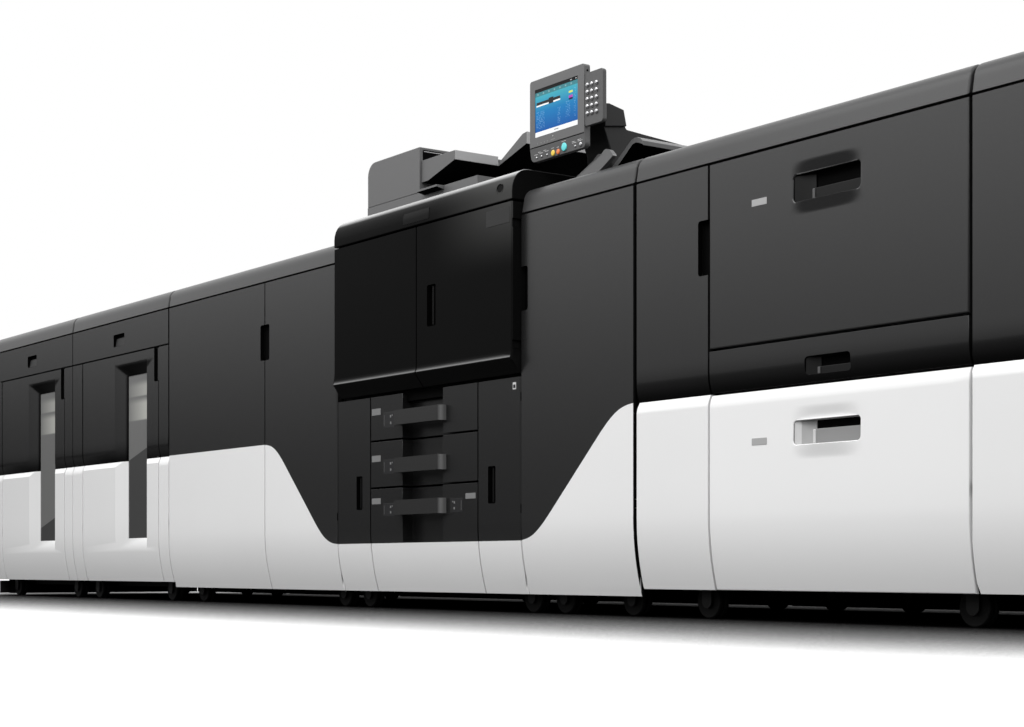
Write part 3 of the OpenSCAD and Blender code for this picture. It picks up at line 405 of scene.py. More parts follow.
class PRINTER_OT_finishes(Operator):
    """Makes the finishes of plastic, metal, rubber and glass"""
    bl_idname = "printer.finishes"
    bl_label = "Finishes"

    def execute(self, context):
        c = context.scene.line_colours
        dark, pale = tuple(c.dark), tuple(c.pale)
        moulded_group()
        moulded("dark_moulding", dark, rough=0.26, shine=0.7)
        moulded("drawer_pale", pale, rough=0.4, split=below(SPLIT_Z + 0.01), pale=pale)
        # painted shade on the dark part where it turns under above the pale part
        moulded("split_panel", dark, rough=0.26, split=below(SPLIT_Z), pale=pale, shine=0.7, painted_shade=painted_bulge_shade)
        # painted shade on the slopes round each stacker window and beside its pane
        for k in (1, 2):
            low, high = node_box("stacker_%d_window" % k)
            moulded("stacker_%d_panel" % k, dark, rough=0.26, split=below(SPLIT_Z), pale=pale, shine=0.7,
                    painted_shade=painted_window_shade(low.x + 0.0095, high.x - 0.0095, high.z - 0.0095))
        moulded("low_split_panel", tuple(v * 0.8 for v in dark), rough=0.26, split=below(LOW_SPLIT_Z),
                pale=pale)
        moulded("delivery_panel", dark, rough=0.26, split=below_sweep(-0.663, 0.507, -0.965), pale=pale,
                shine=0.7)
        moulded("print_panel", dark, rough=0.26, split=below_sweep(0.824, 0.248, 0.927), pale=pale, shine=0.7)
        moulded("top_cover", tuple(c.cover), rough=0.36, shine=0.3)
        # painted highlights along the cover's front edge and the doors' ridge, and a painted sheen at the
        # upper right
        moulded("piano_black", tuple(c.gloss), rough=0.22, depth=0.01, shine=0.012, painted_highlight=(0.4, 0.4, 0.4),
                painted_light=painted_sheen)
        moulded("engine_black", tuple(c.gloss), rough=0.3, depth=0.01, shine=0.1)
        moulded("gloss_plate", (0.004, 0.004, 0.004), rough=0.3, depth=0.01, shine=0.05)
        moulded("label_dark", (0.04, 0.04, 0.04), rough=0.3, depth=0.01, shine=0.05)
        # painted lighter colour on the handles' faces that turn right
        moulded("handle_black", (0.018, 0.018, 0.018), rough=0.26, shine=0.7, painted_side_light=(0.13, 0.13, 0.13))
        moulded("scanner_grey", tuple(c.grey), rough=0.42)
        # also a painted highlight: the lip in the dark drawers' pockets
        moulded("keypad_grey_and_lip_highlight", tuple(v * 0.72 for v in c.grey), rough=0.42, shine=0.4)
        # painted highlight on faces that turn right
        moulded("side_highlight_grey", tuple(v * 3.6 for v in c.grey), rough=0.4)
        # also painted shade inside the pale pockets; the drawers' labels have this grey as their own colour
        moulded("label_and_pocket_shade_grey", (0.38, 0.38, 0.38), rough=0.5)
        # painted highlight on the pale pockets' ramps and lips
        moulded("pocket_highlight", (0.6, 0.6, 0.6), rough=0.5)
        # painted shade on the pale pockets' grips
        moulded("pale_grip_shade", (0.25, 0.25, 0.25), rough=0.4)
        # painted shade in the dark pockets and the latch recess
        moulded("recess_shade_black", (0.005, 0.005, 0.005), rough=0.4, shine=0.2)
        # painted shade in slots, holes, grooves, recesses and on undersides; also the dark joint line
        moulded("painted_shade_and_joint_black", (0.0015, 0.0015, 0.0015), rough=0.7, shine=0.03)
        moulded("table_grey", (0.2, 0.2, 0.2), rough=0.5)
        moulded("rear_panel", (0.07, 0.07, 0.071), rough=0.5)
        moulded("frame_black", (0.004, 0.004, 0.004), rough=0.6, shine=0.12)
        moulded("caster_black", (0.006, 0.006, 0.006), rough=0.45, shine=0.2)
        moulded("rubber", (0.004, 0.004, 0.004), rough=0.7, grain=400.0, depth=0.2, shine=0.12)
        moulded("label_grey", (0.19, 0.19, 0.19), rough=0.35, depth=0.01)
        moulded("key_dim", (0.09, 0.09, 0.09), rough=0.35, depth=0.01)
        moulded("label_pale", (0.62, 0.62, 0.62), rough=0.35, depth=0.01)
        moulded("column_black", (0.017, 0.017, 0.0173), rough=0.4, shine=0.3)
        moulded("inner_grey", (0.17, 0.17, 0.168), rough=0.5)
        moulded("inner_dark", (0.06, 0.06, 0.061), rough=0.5)
        moulded("plate_dark", (0.02, 0.02, 0.021), rough=0.25, depth=0.01)
        moulded("paper", (0.72, 0.71, 0.67), rough=0.7, grain=300.0, depth=0.03)
        moulded("key_yellow", (0.85, 0.6, 0.08), rough=0.3, depth=0.01)
        moulded("key_orange", (0.8, 0.2, 0.05), rough=0.3, depth=0.01)
        moulded("key_cyan", (0.14, 0.72, 0.74), rough=0.3, depth=0.01)
        metal("key_silver", (0.5, 0.5, 0.51), rough=0.24)
        moulded("platen_glass", (0.05, 0.06, 0.06), rough=0.06, depth=0.0)
        moulded("lever_green", (0.05, 0.22, 0.14), rough=0.35, depth=0.02)
        screen_material(SCREEN_X0, SCREEN_X1, SCREEN_Z0, SCREEN_Z1)
        metal("zinc_steel", (0.42, 0.42, 0.43))
        metal("bright_steel", (0.62, 0.62, 0.63), rough=0.22, stretch=(1, 1, 12))
        return {"FINISHED"}


# ---- Tools of the workshop -------------------------------------------------

def deselect():
    if bpy.context.mode != "OBJECT":
        object_mode()
    bpy.ops.object.select_all(action="DESELECT")


def activate(obj):
    deselect()
    bpy.context.view_layer.objects.active = obj
    obj.select_set(True)
    return obj


def object_mode():
    bpy.ops.object.mode_set(mode="OBJECT")

def shift(x, y, z):
    """Moves what is selected."""
    bpy.ops.transform.translate(value=(x, y, z))

def face_middle(face):
    return face.calc_center_median()

def block(x0, x1, y0, y1, z0, z1):
    """A block between two corners, to be shaped further."""
    deselect()
    bpy.ops.mesh.primitive_cube_add(size=1, location=((x0 + x1) / 2, (y0 + y1) / 2, (z0 + z1) / 2))
    obj = bpy.context.object
    obj.scale = (x1 - x0, y1 - y0, z1 - z0)
    bpy.ops.object.transform_apply(location=True, rotation=True, scale=True)
    return obj


def rod(x, y, z, radius, length, axis="Y", vertices=24):
    """A round bar with its middle at a place, to be shaped further."""
    deselect()
    turn = {"X": (0, math.pi / 2, 0), "Y": (math.pi / 2, 0, 0), "Z": (0, 0, 0)}[axis]
    bpy.ops.mesh.primitive_cylinder_add(vertices=vertices, radius=radius, depth=length,
                                        location=(x, y, z), rotation=turn)
    obj = bpy.context.object
    bpy.ops.object.transform_apply(location=True, rotation=True, scale=True)
    return obj


def select_parts(obj, kind, test):
    """Goes into edit mode with the vertices, edges or faces selected that pass the test. Returns how many."""
    activate(obj)
    bpy.ops.object.mode_set(mode="EDIT")
    bpy.ops.mesh.select_mode(type=kind)
    bpy.ops.mesh.select_all(action="DESELECT")
    mesh = bmesh.from_edit_mesh(obj.data)
    mesh.normal_update()
    chosen = [part for part in {"VERT": mesh.verts, "EDGE": mesh.edges,
                                "FACE": mesh.faces}[kind] if test(part)]
    for part in chosen:
        part.select_set(True)
    if kind == "VERT":
        mesh.select_flush(True)
    bmesh.update_edit_mesh(obj.data)
    return len(chosen)

def select_edges(obj, test):
    return select_parts(obj, "EDGE", test)

def select_faces(obj, test):
    return select_parts(obj, "FACE", test)

def cut(obj, at, way, test=lambda f: True):
    """Cuts the faces that pass test(face) where a plane crosses them, at a place along X or Z."""
    select_faces(obj, test)
    bpy.ops.mesh.bisect(plane_co=AXES[way] * at, plane_no=AXES[way])
    object_mode()

def looks_ahead(face):
    """Whether a face looks to the front."""
    return face.normal.y < -0.99

def sink(obj, test, *steps):
    """Insets the faces that pass test(face) and moves them along Y, once for each pair of sizes."""
    select_faces(obj, test)
    for thickness, depth in steps:
        bpy.ops.mesh.inset(thickness=thickness)
        shift(0, depth, 0)
    object_mode()

def bevel_edges(obj, test, offset, segments=3):
    if select_edges(obj, test):
        bpy.ops.mesh.bevel(offset=offset, segments=segments, profile=0.5, affect="EDGES", clamp_overlap=True)
    object_mode()
    return obj


def sharp(edge, least=25.0):
    return len(edge.link_faces) == 2 and math.degrees(edge.calc_face_angle(0.0)) > least


def along(edge, axis):
    """Whether an edge runs along X, Y or Z."""
    run = edge.verts[0].co - edge.verts[1].co
    return run.length > 1e-6 and abs(run.normalized()["XYZ".index(axis)]) > 0.999


def toward_front(edge):
    """A sharp edge that bounds a surface facing the front."""
    return sharp(edge) and any(f.normal.y < -0.8 for f in edge.link_faces)


def freed(obj):
    obj.parent = None
    for key in [key for key in obj.keys() if key.startswith("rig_")]:
        del obj[key]
    return obj

def copy_of(obj, x=0.0, y=0.0, z=0.0):
    """A copy of a piece with a mesh of its own, moved by x, y, z."""
    activate(obj)
    bpy.ops.object.duplicate()
    twin = freed(bpy.context.object)
    bpy.ops.object.mode_set(mode="EDIT")
    bpy.ops.mesh.select_all(action="SELECT")
    shift(x, y, z)
    object_mode()
    return twin


def joined(objects):
    """Several shapes as one piece, each with its own materials."""
    deselect()
    for obj in objects:
        obj.select_set(True)
    bpy.context.view_layer.objects.active = objects[0]
    if len(objects) > 1:
        bpy.ops.object.join()
    return bpy.context.object


def painted(obj, name):
    obj.data.materials.clear()
    obj.data.materials.append(material(name))
    return obj


def paint_faces(obj, name, test):
    """Gives the faces that pass test(face) another finish."""
    if name not in obj.data.materials:
        obj.data.materials.append(material(name))
    index = obj.data.materials.find(name)
    select_faces(obj, test)
    obj.active_material_index = index
    bpy.ops.object.material_slot_assign()
    object_mode()
    return obj


def smooth(obj, angle=32.0):
    activate(obj)
    bpy.ops.object.shade_smooth_by_angle(angle=math.radians(angle), keep_sharp_edges=False)
    return obj


def weighted(obj):
    """Keeps large faces flat between their rounded edges."""
    activate(obj)
    bpy.ops.object.modifier_add(type="WEIGHTED_NORMAL")
    modifier = obj.modifiers[-1]
    modifier.keep_sharp = True
    modifier.weight = 80
    bpy.ops.object.modifier_apply(modifier=modifier.name)
    return obj


def finished(obj, name, body, slot, *nodes, angle=32.0, flat=True):
    """Names a piece, smooths it and lets it ride on its body."""
    smooth(obj, angle)
    if flat:
        weighted(obj)
    obj.name = name
    obj.data.name = name
    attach(obj, body)
    if nodes:
        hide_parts(*nodes)
    return obj


def solid_copy(node):
    """A merged copy of a solid, ready for its edges to be rounded."""
    deselect()
    source = frame["nodes"][node]
    bpy.context.view_layer.objects.active = source
    source.select_set(True)
    bpy.ops.object.duplicate()
    obj = freed(bpy.context.object)
    if obj.data.has_custom_normals:
        bpy.ops.mesh.customdata_custom_splitnormals_clear()
    bpy.ops.object.mode_set(mode="EDIT")
    bpy.ops.mesh.select_all(action="SELECT")
    bpy.ops.mesh.remove_doubles(threshold=2e-5)
    bpy.ops.mesh.dissolve_limited(angle_limit=math.radians(0.4))
    bpy.ops.mesh.select_all(action="DESELECT")
    object_mode()
    return obj


def plate(x0, x1, z0, z1, y, thick, radius, name, edge=0.0004):
    """A small plate with round corners on a surface that faces the front at y."""
    obj = block(x0, x1, y - thick, y + 0.0005, z0, z1)
    if radius > 0:
        bevel_edges(obj, lambda e: along(e, "Y"), radius, 4)
    if edge > 0:
        bevel_edges(obj, toward_front, edge, 2)
    return painted(obj, name)


def button(x, z, y, radius, height, name, vertices=20):
    """A round domed key that stands proud of a surface facing the front at y."""
    obj = rod(x, y - height / 2 + 0.0005, z, radius, height + 0.001, "Y", vertices)
    bevel_edges(obj, toward_front, height * 0.7, 3)
    return painted(obj, name)


# ---- Covers and doors ------------------------------------------------------

def soft_chamfer(obj):
    """Lets the pale part's upper chamfer run softly into the face."""
    bevel_edges(obj, lambda e: along(e, "X") and abs(e.verts[0].co.z - CHAMFER_Z) < 0.002
                and e.verts[0].co.y < FRONT + 0.001, 0.014, 6)


class PRINTER_OT_covers(Operator):
    """Rounds the top covers and the scanner deck's front"""
    bl_idname = "printer.covers"
    bl_label = "Top Covers"

    def execute(self, context):
        edge = context.scene.line_sizes.edge
        obj = solid_copy("top_covers")
        bevel_edges(obj, lambda e: sharp(e, 60) and any(abs(f.normal.x) > 0.99 for f in e.link_faces)
                    and min(v.co.y for v in e.verts) < REAR - 0.01 and not along(e, "Z") or sharp(e, 60)
                    and along(e, "Z") and e.verts[0].co.y < FRONT + 0.01, 0.006, 5)
        bevel_edges(obj, lambda e: sharp(e, 40) and along(e, "X"), edge)
        painted(obj, "top_cover")
        finished(obj, "top_cover_shells", "line", "cover", "top_covers")
        obj = solid_copy("engine_top_cover")
        bevel_edges(obj, sharp, edge)
        painted(obj, "piano_black")
        finished(obj, "scanner_deck", "line", "gloss_black", "engine_top_cover")
        return {"FINISHED"}


DOOR_FINISHES = {
    "stacker_1_door": "stacker_1_panel", "stacker_2_door": "stacker_2_panel",
    "delivery_left_door": "delivery_panel", "delivery_right_door": "delivery_panel",
    "engine_left_door": "piano_black", "engine_right_door": "piano_black",
    "engine_lower_left_cover": "low_split_panel", "engine_lower_right_cover": "low_split_panel",
    "print_door": "print_panel", "feeder_1_side_door": "split_panel", "feeder_2_side_door": "split_panel",
}


def slot_corner(edge, box):
    """An inner corner of a finger slot, from the face to the slot's floor."""
    low, high = sorted(v.co.y for v in edge.verts)
    spot = edge.verts[0].co
    return (along(edge, "Y") and sharp(edge) and abs(low - box[0].y) < 5e-4 and abs(high - low - 0.015) < 5e-4
            and box[0].x + 0.008 < spot.x < box[1].x - 0.008 and spot.z < box[1].z - 0.002)


def slot_face(face, face_y):
    """A floor or wall of a finger slot."""
    y = face_middle(face).y - face_y
    if not 0.29 < face_middle(face).z < 1.0:
        return False
    if face.normal.y < -0.9:
        return 0.012 < y < 0.0158
    return (0.003 < y < 0.0135 and face.calc_area() < 0.003
            and all(v.co.y < face_y + 0.0156 for v in face.verts))


class PRINTER_OT_doors(Operator):
    """Rounds the edges of the doors and lower covers and darkens their finger slots"""
    bl_idname = "printer.doors"
    bl_label = "Doors"

    def execute(self, context):
        edge = context.scene.line_sizes.edge
        slots = {s["node"]: s["material_slot"] for s in frame["record"]["subparts"]}
        for node, finish in DOOR_FINISHES.items():
            obj = solid_copy(node)
            face_y = node_box(node)[0].y
            bevel_edges(obj, lambda e: slot_corner(e, node_box(node)), 0.005 if "engine" in node else 0.008,
                        5)
            if "stacker" in node:
                # soft outer edges of the slopes round the window
                pane = node_box(node.replace("door", "window"))
                select_edges(obj,
                             lambda e: e.verts[0].co.y < face_y + 0.0006 and e.verts[1].co.y < face_y + 0.0006
                             and sharp(e, 5) and pane[0].x - 0.09 < e.verts[0].co.x < pane[1].x + 0.04
                             and pane[0].x - 0.09 < e.verts[1].co.x < pane[1].x + 0.04
                             and all(pane[0].z - 0.06 < v.co.z < pane[1].z + 0.06 for v in e.verts)
                             and not (along(e, "X") and 0.5 < e.verts[0].co.z < 0.6))
                bpy.ops.mesh.bevel(offset=0.008, segments=4, profile=0.5, affect="EDGES", clamp_overlap=True)
                object_mode()
            soft_chamfer(obj)
            if finish == "piano_black":
                # the face flares out to a round ridge above the chamfer
                for z in (0.7015, 0.714):
                    cut(obj, z, "Z", lambda f: f.normal.y < -0.98)
                for z, out in ((0.693, 0.0060), (0.7015, 0.0012)):
                    select_edges(obj, lambda e: along(e, "X") and abs(e.verts[0].co.z - z) < 0.0006
                                 and e.verts[0].co.y < face_y + 0.001)
                    shift(0, -out, 0)
                    object_mode()
                bevel_edges(obj, lambda e: along(e, "X") and abs(e.verts[0].co.z - 0.693) < 0.0006
                            and e.verts[0].co.y < face_y, 0.0035, 4)
            bevel_edges(obj, lambda e: toward_front(e) and (finish != "piano_black" or not along(e, "X")
                                                            or e.verts[0].co.z > 0.75), edge)
            painted(obj, finish)
            if node in ("print_door", "feeder_1_side_door"):
                # the joint between the two modules shows as a dark line
                low, high = node_box(node)
                edge_x = high.x - JOINT_W if node == "print_door" else low.x + JOINT_W
                cut(obj, edge_x, "X")
                paint_faces(obj, "painted_shade_and_joint_black", lambda f: abs(face_middle(f).x - edge_x) <= JOINT_W + 0.0001
                            and (face_middle(f).x > edge_x) == (node == "print_door"))
            # painted shade: the finger slots' floors and walls are painted near black
            paint_faces(obj, "painted_shade_and_joint_black", lambda f: slot_face(f, face_y))
            finished(obj, node + "_panel", node, slots[node], node)
        return {"FINISHED"}


class PRINTER_OT_stackers(Operator):
    """Fixed stacker fronts, window panes and what shows behind them"""
    bl_idname = "printer.stackers"
    bl_label = "Stackers"

    def execute(self, context):
        edge = context.scene.line_sizes.edge
        obj = solid_copy("stacker_fronts")
        soft_chamfer(obj)
        bevel_edges(obj, toward_front, edge)
        painted(obj, "split_panel")
        # painted shade: the small faces in the latch recess are painted near black
        paint_faces(obj, "painted_shade_and_joint_black", lambda f: face_middle(f).z > 0.98
                    and FRONT + 0.003 < face_middle(f).y < FRONT + 0.0156 and f.calc_area() < 0.006)
        finished(obj, "stacker_front_panels", "line", "dark_panel", "stacker_fronts")
        for k, x, table in ((1, STACKER_1_X, 0.292), (2, STACKER_2_X, 0.538)):
            node = "stacker_%d_window" % k
            low, high = node_box(node)
            pane_material("pane_painted_view_%d" % k, low.x + 0.0095, high.x - 0.0095, table)
            obj = solid_copy(node)
            bevel_edges(obj, sharp, 0.001, 2)
            painted(obj, "pane_painted_view_%d" % k)
            finished(obj, "stacker_%d_pane" % k, "stacker_%d_door" % k, "pane", node)
            # latch flap in the recess of the fixed cover
            flap = block(x + 0.422, x + 0.510, FRONT + 0.005, FRONT + 0.0148, 0.9872, 1.019)
            bevel_edges(flap, lambda e: along(e, "Y") and e.verts[0].co.z < 1.0, 0.008, 4)
            select_faces(flap, lambda f: f.normal.z > 0.9)
            shift(0, 0.004, 0)
            object_mode()
            bevel_edges(flap, sharp, 0.0012, 2)
            # near black: painted shade of the recess the flap sits in
            painted(flap, "recess_shade_black")
            finished(flap, "stacker_%d_latch" % k, "line", "dark_panel")
            # the lip inside the door's edge slot
            door = node_box("stacker_%d_door" % k)
            lip = block(door[1].x - 0.018, door[1].x - 0.0015, FRONT + 0.006, FRONT + 0.0152, 0.8235, 0.9475)
            bevel_edges(lip, toward_front, 0.002, 3)
            painted(lip, "dark_moulding")
            finished(lip, "stacker_%d_slot_lip" % k, "stacker_%d_door" % k, "dark_panel")
        return {"FINISHED"}


def pane_material(name, x0, x1, table_z):
    """Smoked pane, painted with what shows behind it: the pale rollers' housing at its top, the back wall
    below, painted shade under the table, and painted light on the pale bands that grows to the right."""
    mat, tree, shader = new_material(name)
    shader.inputs["Roughness"].default_value = 0.1
    shader.inputs["IOR"].default_value = 1.49
    x, _, z = axes(tree, add(tree, "ShaderNodeTexCoord").outputs["Object"])
    across = math_node(tree, "DIVIDE", math_node(tree, "SUBTRACT", x, x0), x1 - x0)
    table = math_node(tree, "MULTIPLY_ADD", across, 0.045, table_z)
    # painted shade: the wall is darker under the table
    wall = mix_colour(tree, math_node(tree, "LESS_THAN", z, table), (0.175, 0.175, 0.173),
                      (0.068, 0.068, 0.068))
    # painted light on the pale bands, stronger towards the right
    painted_light = math_node(tree, "MULTIPLY_ADD", across, 0.75, 0.1)
    for z0, z1, strength in ((0.782, 0.828, 0.75), (0.690, 0.762, 1.0)):
        band = math_node(tree, "MULTIPLY", ramp_node(tree, z, z0 - 0.004, z0 + 0.004),
                         ramp_node(tree, z, z1 + 0.018, z1 - 0.012))
        band = math_node(tree, "MULTIPLY", math_node(tree, "MULTIPLY", band, painted_light), strength)
        wall = mix_colour(tree, band, wall, (0.56, 0.56, 0.52))
    tree.links.new(wall, shader.inputs["Base Color"])
    return mat


DRAWERS = [(k, x, which) for k, x in ((1, FEEDER_1_X), (2, FEEDER_2_X))
           for which in ("upper", "middle", "lower")]


# Each drawer's finger pocket: left end, width, middle height, height, width of its left ramp
POCKETS = {"upper": (0.561, 0.206, 0.977, 0.060, 0.056), "middle": (0.597, 0.140, 0.576, 0.041, 0.036),
           "lower": (0.561, 0.206, 0.428, 0.054, 0.058)}


def soft_dish(obj, cx, cz, half_w, half_h, depth):
    """Presses a shallow dish into a drawer front, round its finger pocket."""
    x0, x1, z0, z1 = cx - half_w, cx + half_w, cz - half_h, cz + half_h

    def front_face(face):
        return face.normal.y < -0.98 and all(v.co.y < FRONT + 0.0004 for v in face.verts)

    def inside(face):
        spot = face_middle(face)
        return front_face(face) and x0 < spot.x < x1 and z0 < spot.z < z1

    for at, way in ((x0, "X"), (x1, "X"), (z0, "Z"), (z1, "Z")):
        cut(obj, at, way, front_face)
    for low, high, way, count in ((x0, x1, "X", 22), (z0, z1, "Z", 14)):
        for k in range(1, count):
            cut(obj, low + (high - low) * k / count, way, inside)
    hollow, swell = obj.vertex_groups.new(name="hollow"), obj.vertex_groups.new(name="swell")
    for vertex in obj.data.vertices:
        u, v = (vertex.co.x - cx) / half_w, (vertex.co.z - cz) / half_h
        reach = (u ** 4 + v ** 4) ** 0.25
        if reach < 1 and vertex.co.y < FRONT + 0.0035:
            upper = min(1.0, max(0.0, 0.5 + v))
            upper = upper * upper * (3 - 2 * upper)
            weight = (1 - reach ** 2.2) ** 1.6
            hollow.add([vertex.index], weight * upper, "REPLACE")
            swell.add([vertex.index], weight * (1 - upper), "REPLACE")
    for name, strength in (("hollow", 0.9 * depth), ("swell", -0.9 * depth)):
        bpy.ops.object.modifier_add(type="DISPLACE")
        modifier = obj.modifiers[-1]
        modifier.direction = "Y"
        modifier.mid_level = 0.0
        modifier.strength = strength
        modifier.vertex_group = name
        bpy.ops.object.modifier_apply(modifier=modifier.name)
    obj.vertex_groups.clear()
    return obj


def pocket_grip(x, pocket, finish):
    """The ramp and the upright grip inside a finger pocket, in colours darkened as painted shade; the ramp's
    outer part and the lip are painted lighter as painted light.
    """
    left, width, middle, height, ramp_w = pocket
    x0, x1 = x + left, x + left + width
    z0, z1 = middle - height / 2, middle + height / 2
    ramp = block(x0 + 0.0012, x0 + ramp_w, FRONT + 0.004, FRONT + 0.0195, z0 + 0.0008, z1 - 0.0008)
    start = x0 + 0.0012
    steps = [start + (x0 + ramp_w - start) * k / RAMP_STEPS for k in range(1, RAMP_STEPS + 1)]
    for at in steps[:-1]:
        cut(ramp, at, "X")
    for k, at in enumerate(steps, 1):
        select_edges(ramp, lambda e: along(e, "Z") and abs(e.verts[0].co.x - at) < 1e-4
                     and e.verts[0].co.y < FRONT + 0.0045)
        shift(0, 0.0135 * math.sin(math.pi / 2 * k / RAMP_STEPS), 0)
        object_mode()
    painted(ramp, "label_and_pocket_shade_grey" if finish == "pale_grip_shade" else finish)
    if finish == "pale_grip_shade":
        # painted light: the ramp's outer part is lighter
        paint_faces(ramp, "pocket_highlight", lambda f: face_middle(f).x < x0 + 0.3 * ramp_w)
    top = z0 + height * (0.62 if finish == "pale_grip_shade" else 0.42)
    grip = block(x0 + ramp_w - 0.004, x1 - 0.0008, FRONT + 0.0118, FRONT + 0.0196, z0 + 0.0008, top)
    bevel_edges(grip,
                lambda e: along(e, "Z") and e.verts[0].co.y < FRONT + 0.013 and e.verts[0].co.x < x0 + ramp_w,
                0.006, 5)
    bevel_edges(grip, lambda e: sharp(e) and max(v.co.z for v in e.verts) > top - 0.0006, 0.0018, 3)
    painted(grip, finish)
    # upright lip where the ramp ends at the grip, painted lighter as a highlight
    lip = block(x0 + ramp_w - 0.005, x0 + ramp_w + 0.003, FRONT + 0.0095, FRONT + 0.0192, z0 + 0.0008,
                top - 0.001)
    bevel_edges(lip, sharp, 0.0015, 3)
    painted(lip, "pocket_highlight" if finish == "pale_grip_shade" else "keypad_grey_and_lip_highlight")
    return joined([ramp, grip, lip])


class PRINTER_OT_drawers(Operator):
    """Feeder drawers with their finger pockets, grips and labels"""
    bl_idname = "printer.drawers"
    bl_label = "Feeder Drawers"

    def execute(self, context):
        sizes = context.scene.line_sizes
        for k, x, which in DRAWERS:
            node = "feeder_%d_%s_drawer" % (k, which)
            pocket = POCKETS[which]
            finish = {"lower": "drawer_pale", "middle": "split_panel", "upper": "dark_moulding"}[which]
            slot_name = "pale_panel" if which == "lower" else "dark_panel"
            obj = solid_copy(node)
            soft_chamfer(obj)
            bevel_edges(obj, toward_front, sizes.edge)
            painted(obj, finish)
            cx = x + pocket[0] + pocket[1] / 2
            if which != "middle":
                soft_dish(obj, cx, pocket[2], 0.112, 0.062, sizes.dish)
            # painted shade: the pocket's deep back wall and its inner walls are painted dark
            paint_faces(obj, "painted_shade_and_joint_black", lambda f: f.normal.y < -0.9
                        and abs(face_middle(f).y - FRONT - 0.020) < 0.0008
                        and abs(face_middle(f).z - pocket[2]) < 0.03)
            inner = "label_and_pocket_shade_grey" if which == "lower" else "painted_shade_and_joint_black"
            paint_faces(obj, inner, lambda f: abs(face_middle(f).x - cx) < pocket[1] / 2 + 0.001
                        and abs(face_middle(f).z - pocket[2]) < pocket[3] / 2 + 0.001
                        and FRONT + 0.004 < face_middle(f).y < FRONT + 0.0195)
            finished(obj, node + "_front", node, slot_name, node, angle=40.0)
            finished(pocket_grip(x, pocket, "pale_grip_shade" if which == "lower" else "recess_shade_black"),
                     node + "_grip",
                     node, slot_name)
            if which != "middle":
                z0 = 0.958 if which == "upper" else 0.407
                label = plate(x + 0.426, x + 0.476, z0, z0 + 0.016, FRONT, 0.0009, 0.0015, "label_and_pocket_shade_grey")
                finished(label, node + "_label", node, "steel")
        return {"FINISHED"}


def paper_gauge(x0, x1, z0, z1, mirrored=False):
    """A paper gauge: a flush window with its bar and level marks."""
    parts = [plate(x0, x1, z0, z1, FRONT, 0.0007, 0.002, "plate_dark")]
    w, h = x1 - x0, z1 - z0
    side = -1 if mirrored else 1
    mid = (x0 + x1) / 2
    for u, v, a, b in ((0.16, 0.22, 0.10, 0.16), (0.30, 0.28, 0.06, 0.10), (0.17, -0.20, 0.10, 0.16),
                       (-0.40, 0.0, 0.03, 0.70)):
        cx, cz = mid + side * u * w, (z0 + z1) / 2 + v * h
        parts.append(plate(cx - a * w / 2, cx + a * w / 2, cz - b * h / 2, cz + b * h / 2, FRONT - 0.0005,
                           0.0006, 0.0, "label_grey" if u > 0 else "key_dim", 0.0))
    return joined(parts)


# Labels and gauges on the cassettes: x0, x1, z0, z1
CASSETTE_LABELS = {1: [(-0.062, -0.011, 0.588, 0.608)], 2: [(-0.062, -0.011, 0.446, 0.465)],
                   3: [(-0.062, -0.011, 0.317, 0.335), (0.449, 0.499, 0.319, 0.335)]}
CASSETTE_GAUGES = {1: [(0.004, 0.069, 0.546, 0.593)], 2: [(0.004, 0.069, 0.406, 0.450)],
                   3: [(0.004, 0.069, 0.279, 0.318), (0.371, 0.434, 0.282, 0.322)]}
HANDLE_Z = {1: 0.571, 2: 0.429, 3: 0.303}


class PRINTER_OT_cassettes(Operator):
    """Paper cassettes with their handles, labels and paper gauges"""
    bl_idname = "printer.cassettes"
    bl_label = "Cassettes"

    def execute(self, context):
        for k in (1, 2, 3):
            node = "cassette_%d" % k
            obj = solid_copy(node)
            # the handle's right end turns back to the front in a round bend
            bevel_edges(obj, lambda e: along(e, "Z") and e.verts[0].co.y < FRONT - 0.023
                        and e.verts[0].co.x > 0.34, 0.016, 8)
            bevel_edges(obj, lambda e: along(e, "Z") and e.verts[0].co.y < FRONT - 0.023
                        and e.verts[0].co.x < 0.11, 0.005, 4)
            bevel_edges(obj, lambda e: toward_front(e) and not (along(e, "X") and abs(
                e.verts[0].co.z - HANDLE_Z[k]) < 0.03), 0.0012, 2)
            painted(obj, "low_split_panel")
            paint_faces(obj, "handle_black", lambda f: face_middle(f).y < FRONT - 0.0005
                        and abs(face_middle(f).z - HANDLE_Z[k]) < 0.05)
            # painted shade: the faces in the channel behind the handle are painted near black
            paint_faces(obj, "painted_shade_and_joint_black", lambda f: face_middle(f).y > FRONT + 0.003
                        and face_middle(f).z > HANDLE_Z[1] + 0.022)
            finished(obj, node + "_front", node, "dark_panel", node, angle=35.0)
            parts = [plate(*at, FRONT, 0.0009, 0.0015, "label_grey") for at in CASSETTE_LABELS[k]]
            parts += [paper_gauge(*at, mirrored=at[0] > 0.3) for at in CASSETTE_GAUGES[k]]
            finished(joined(parts), node + "_marks", node, "steel")
        return {"FINISHED"}


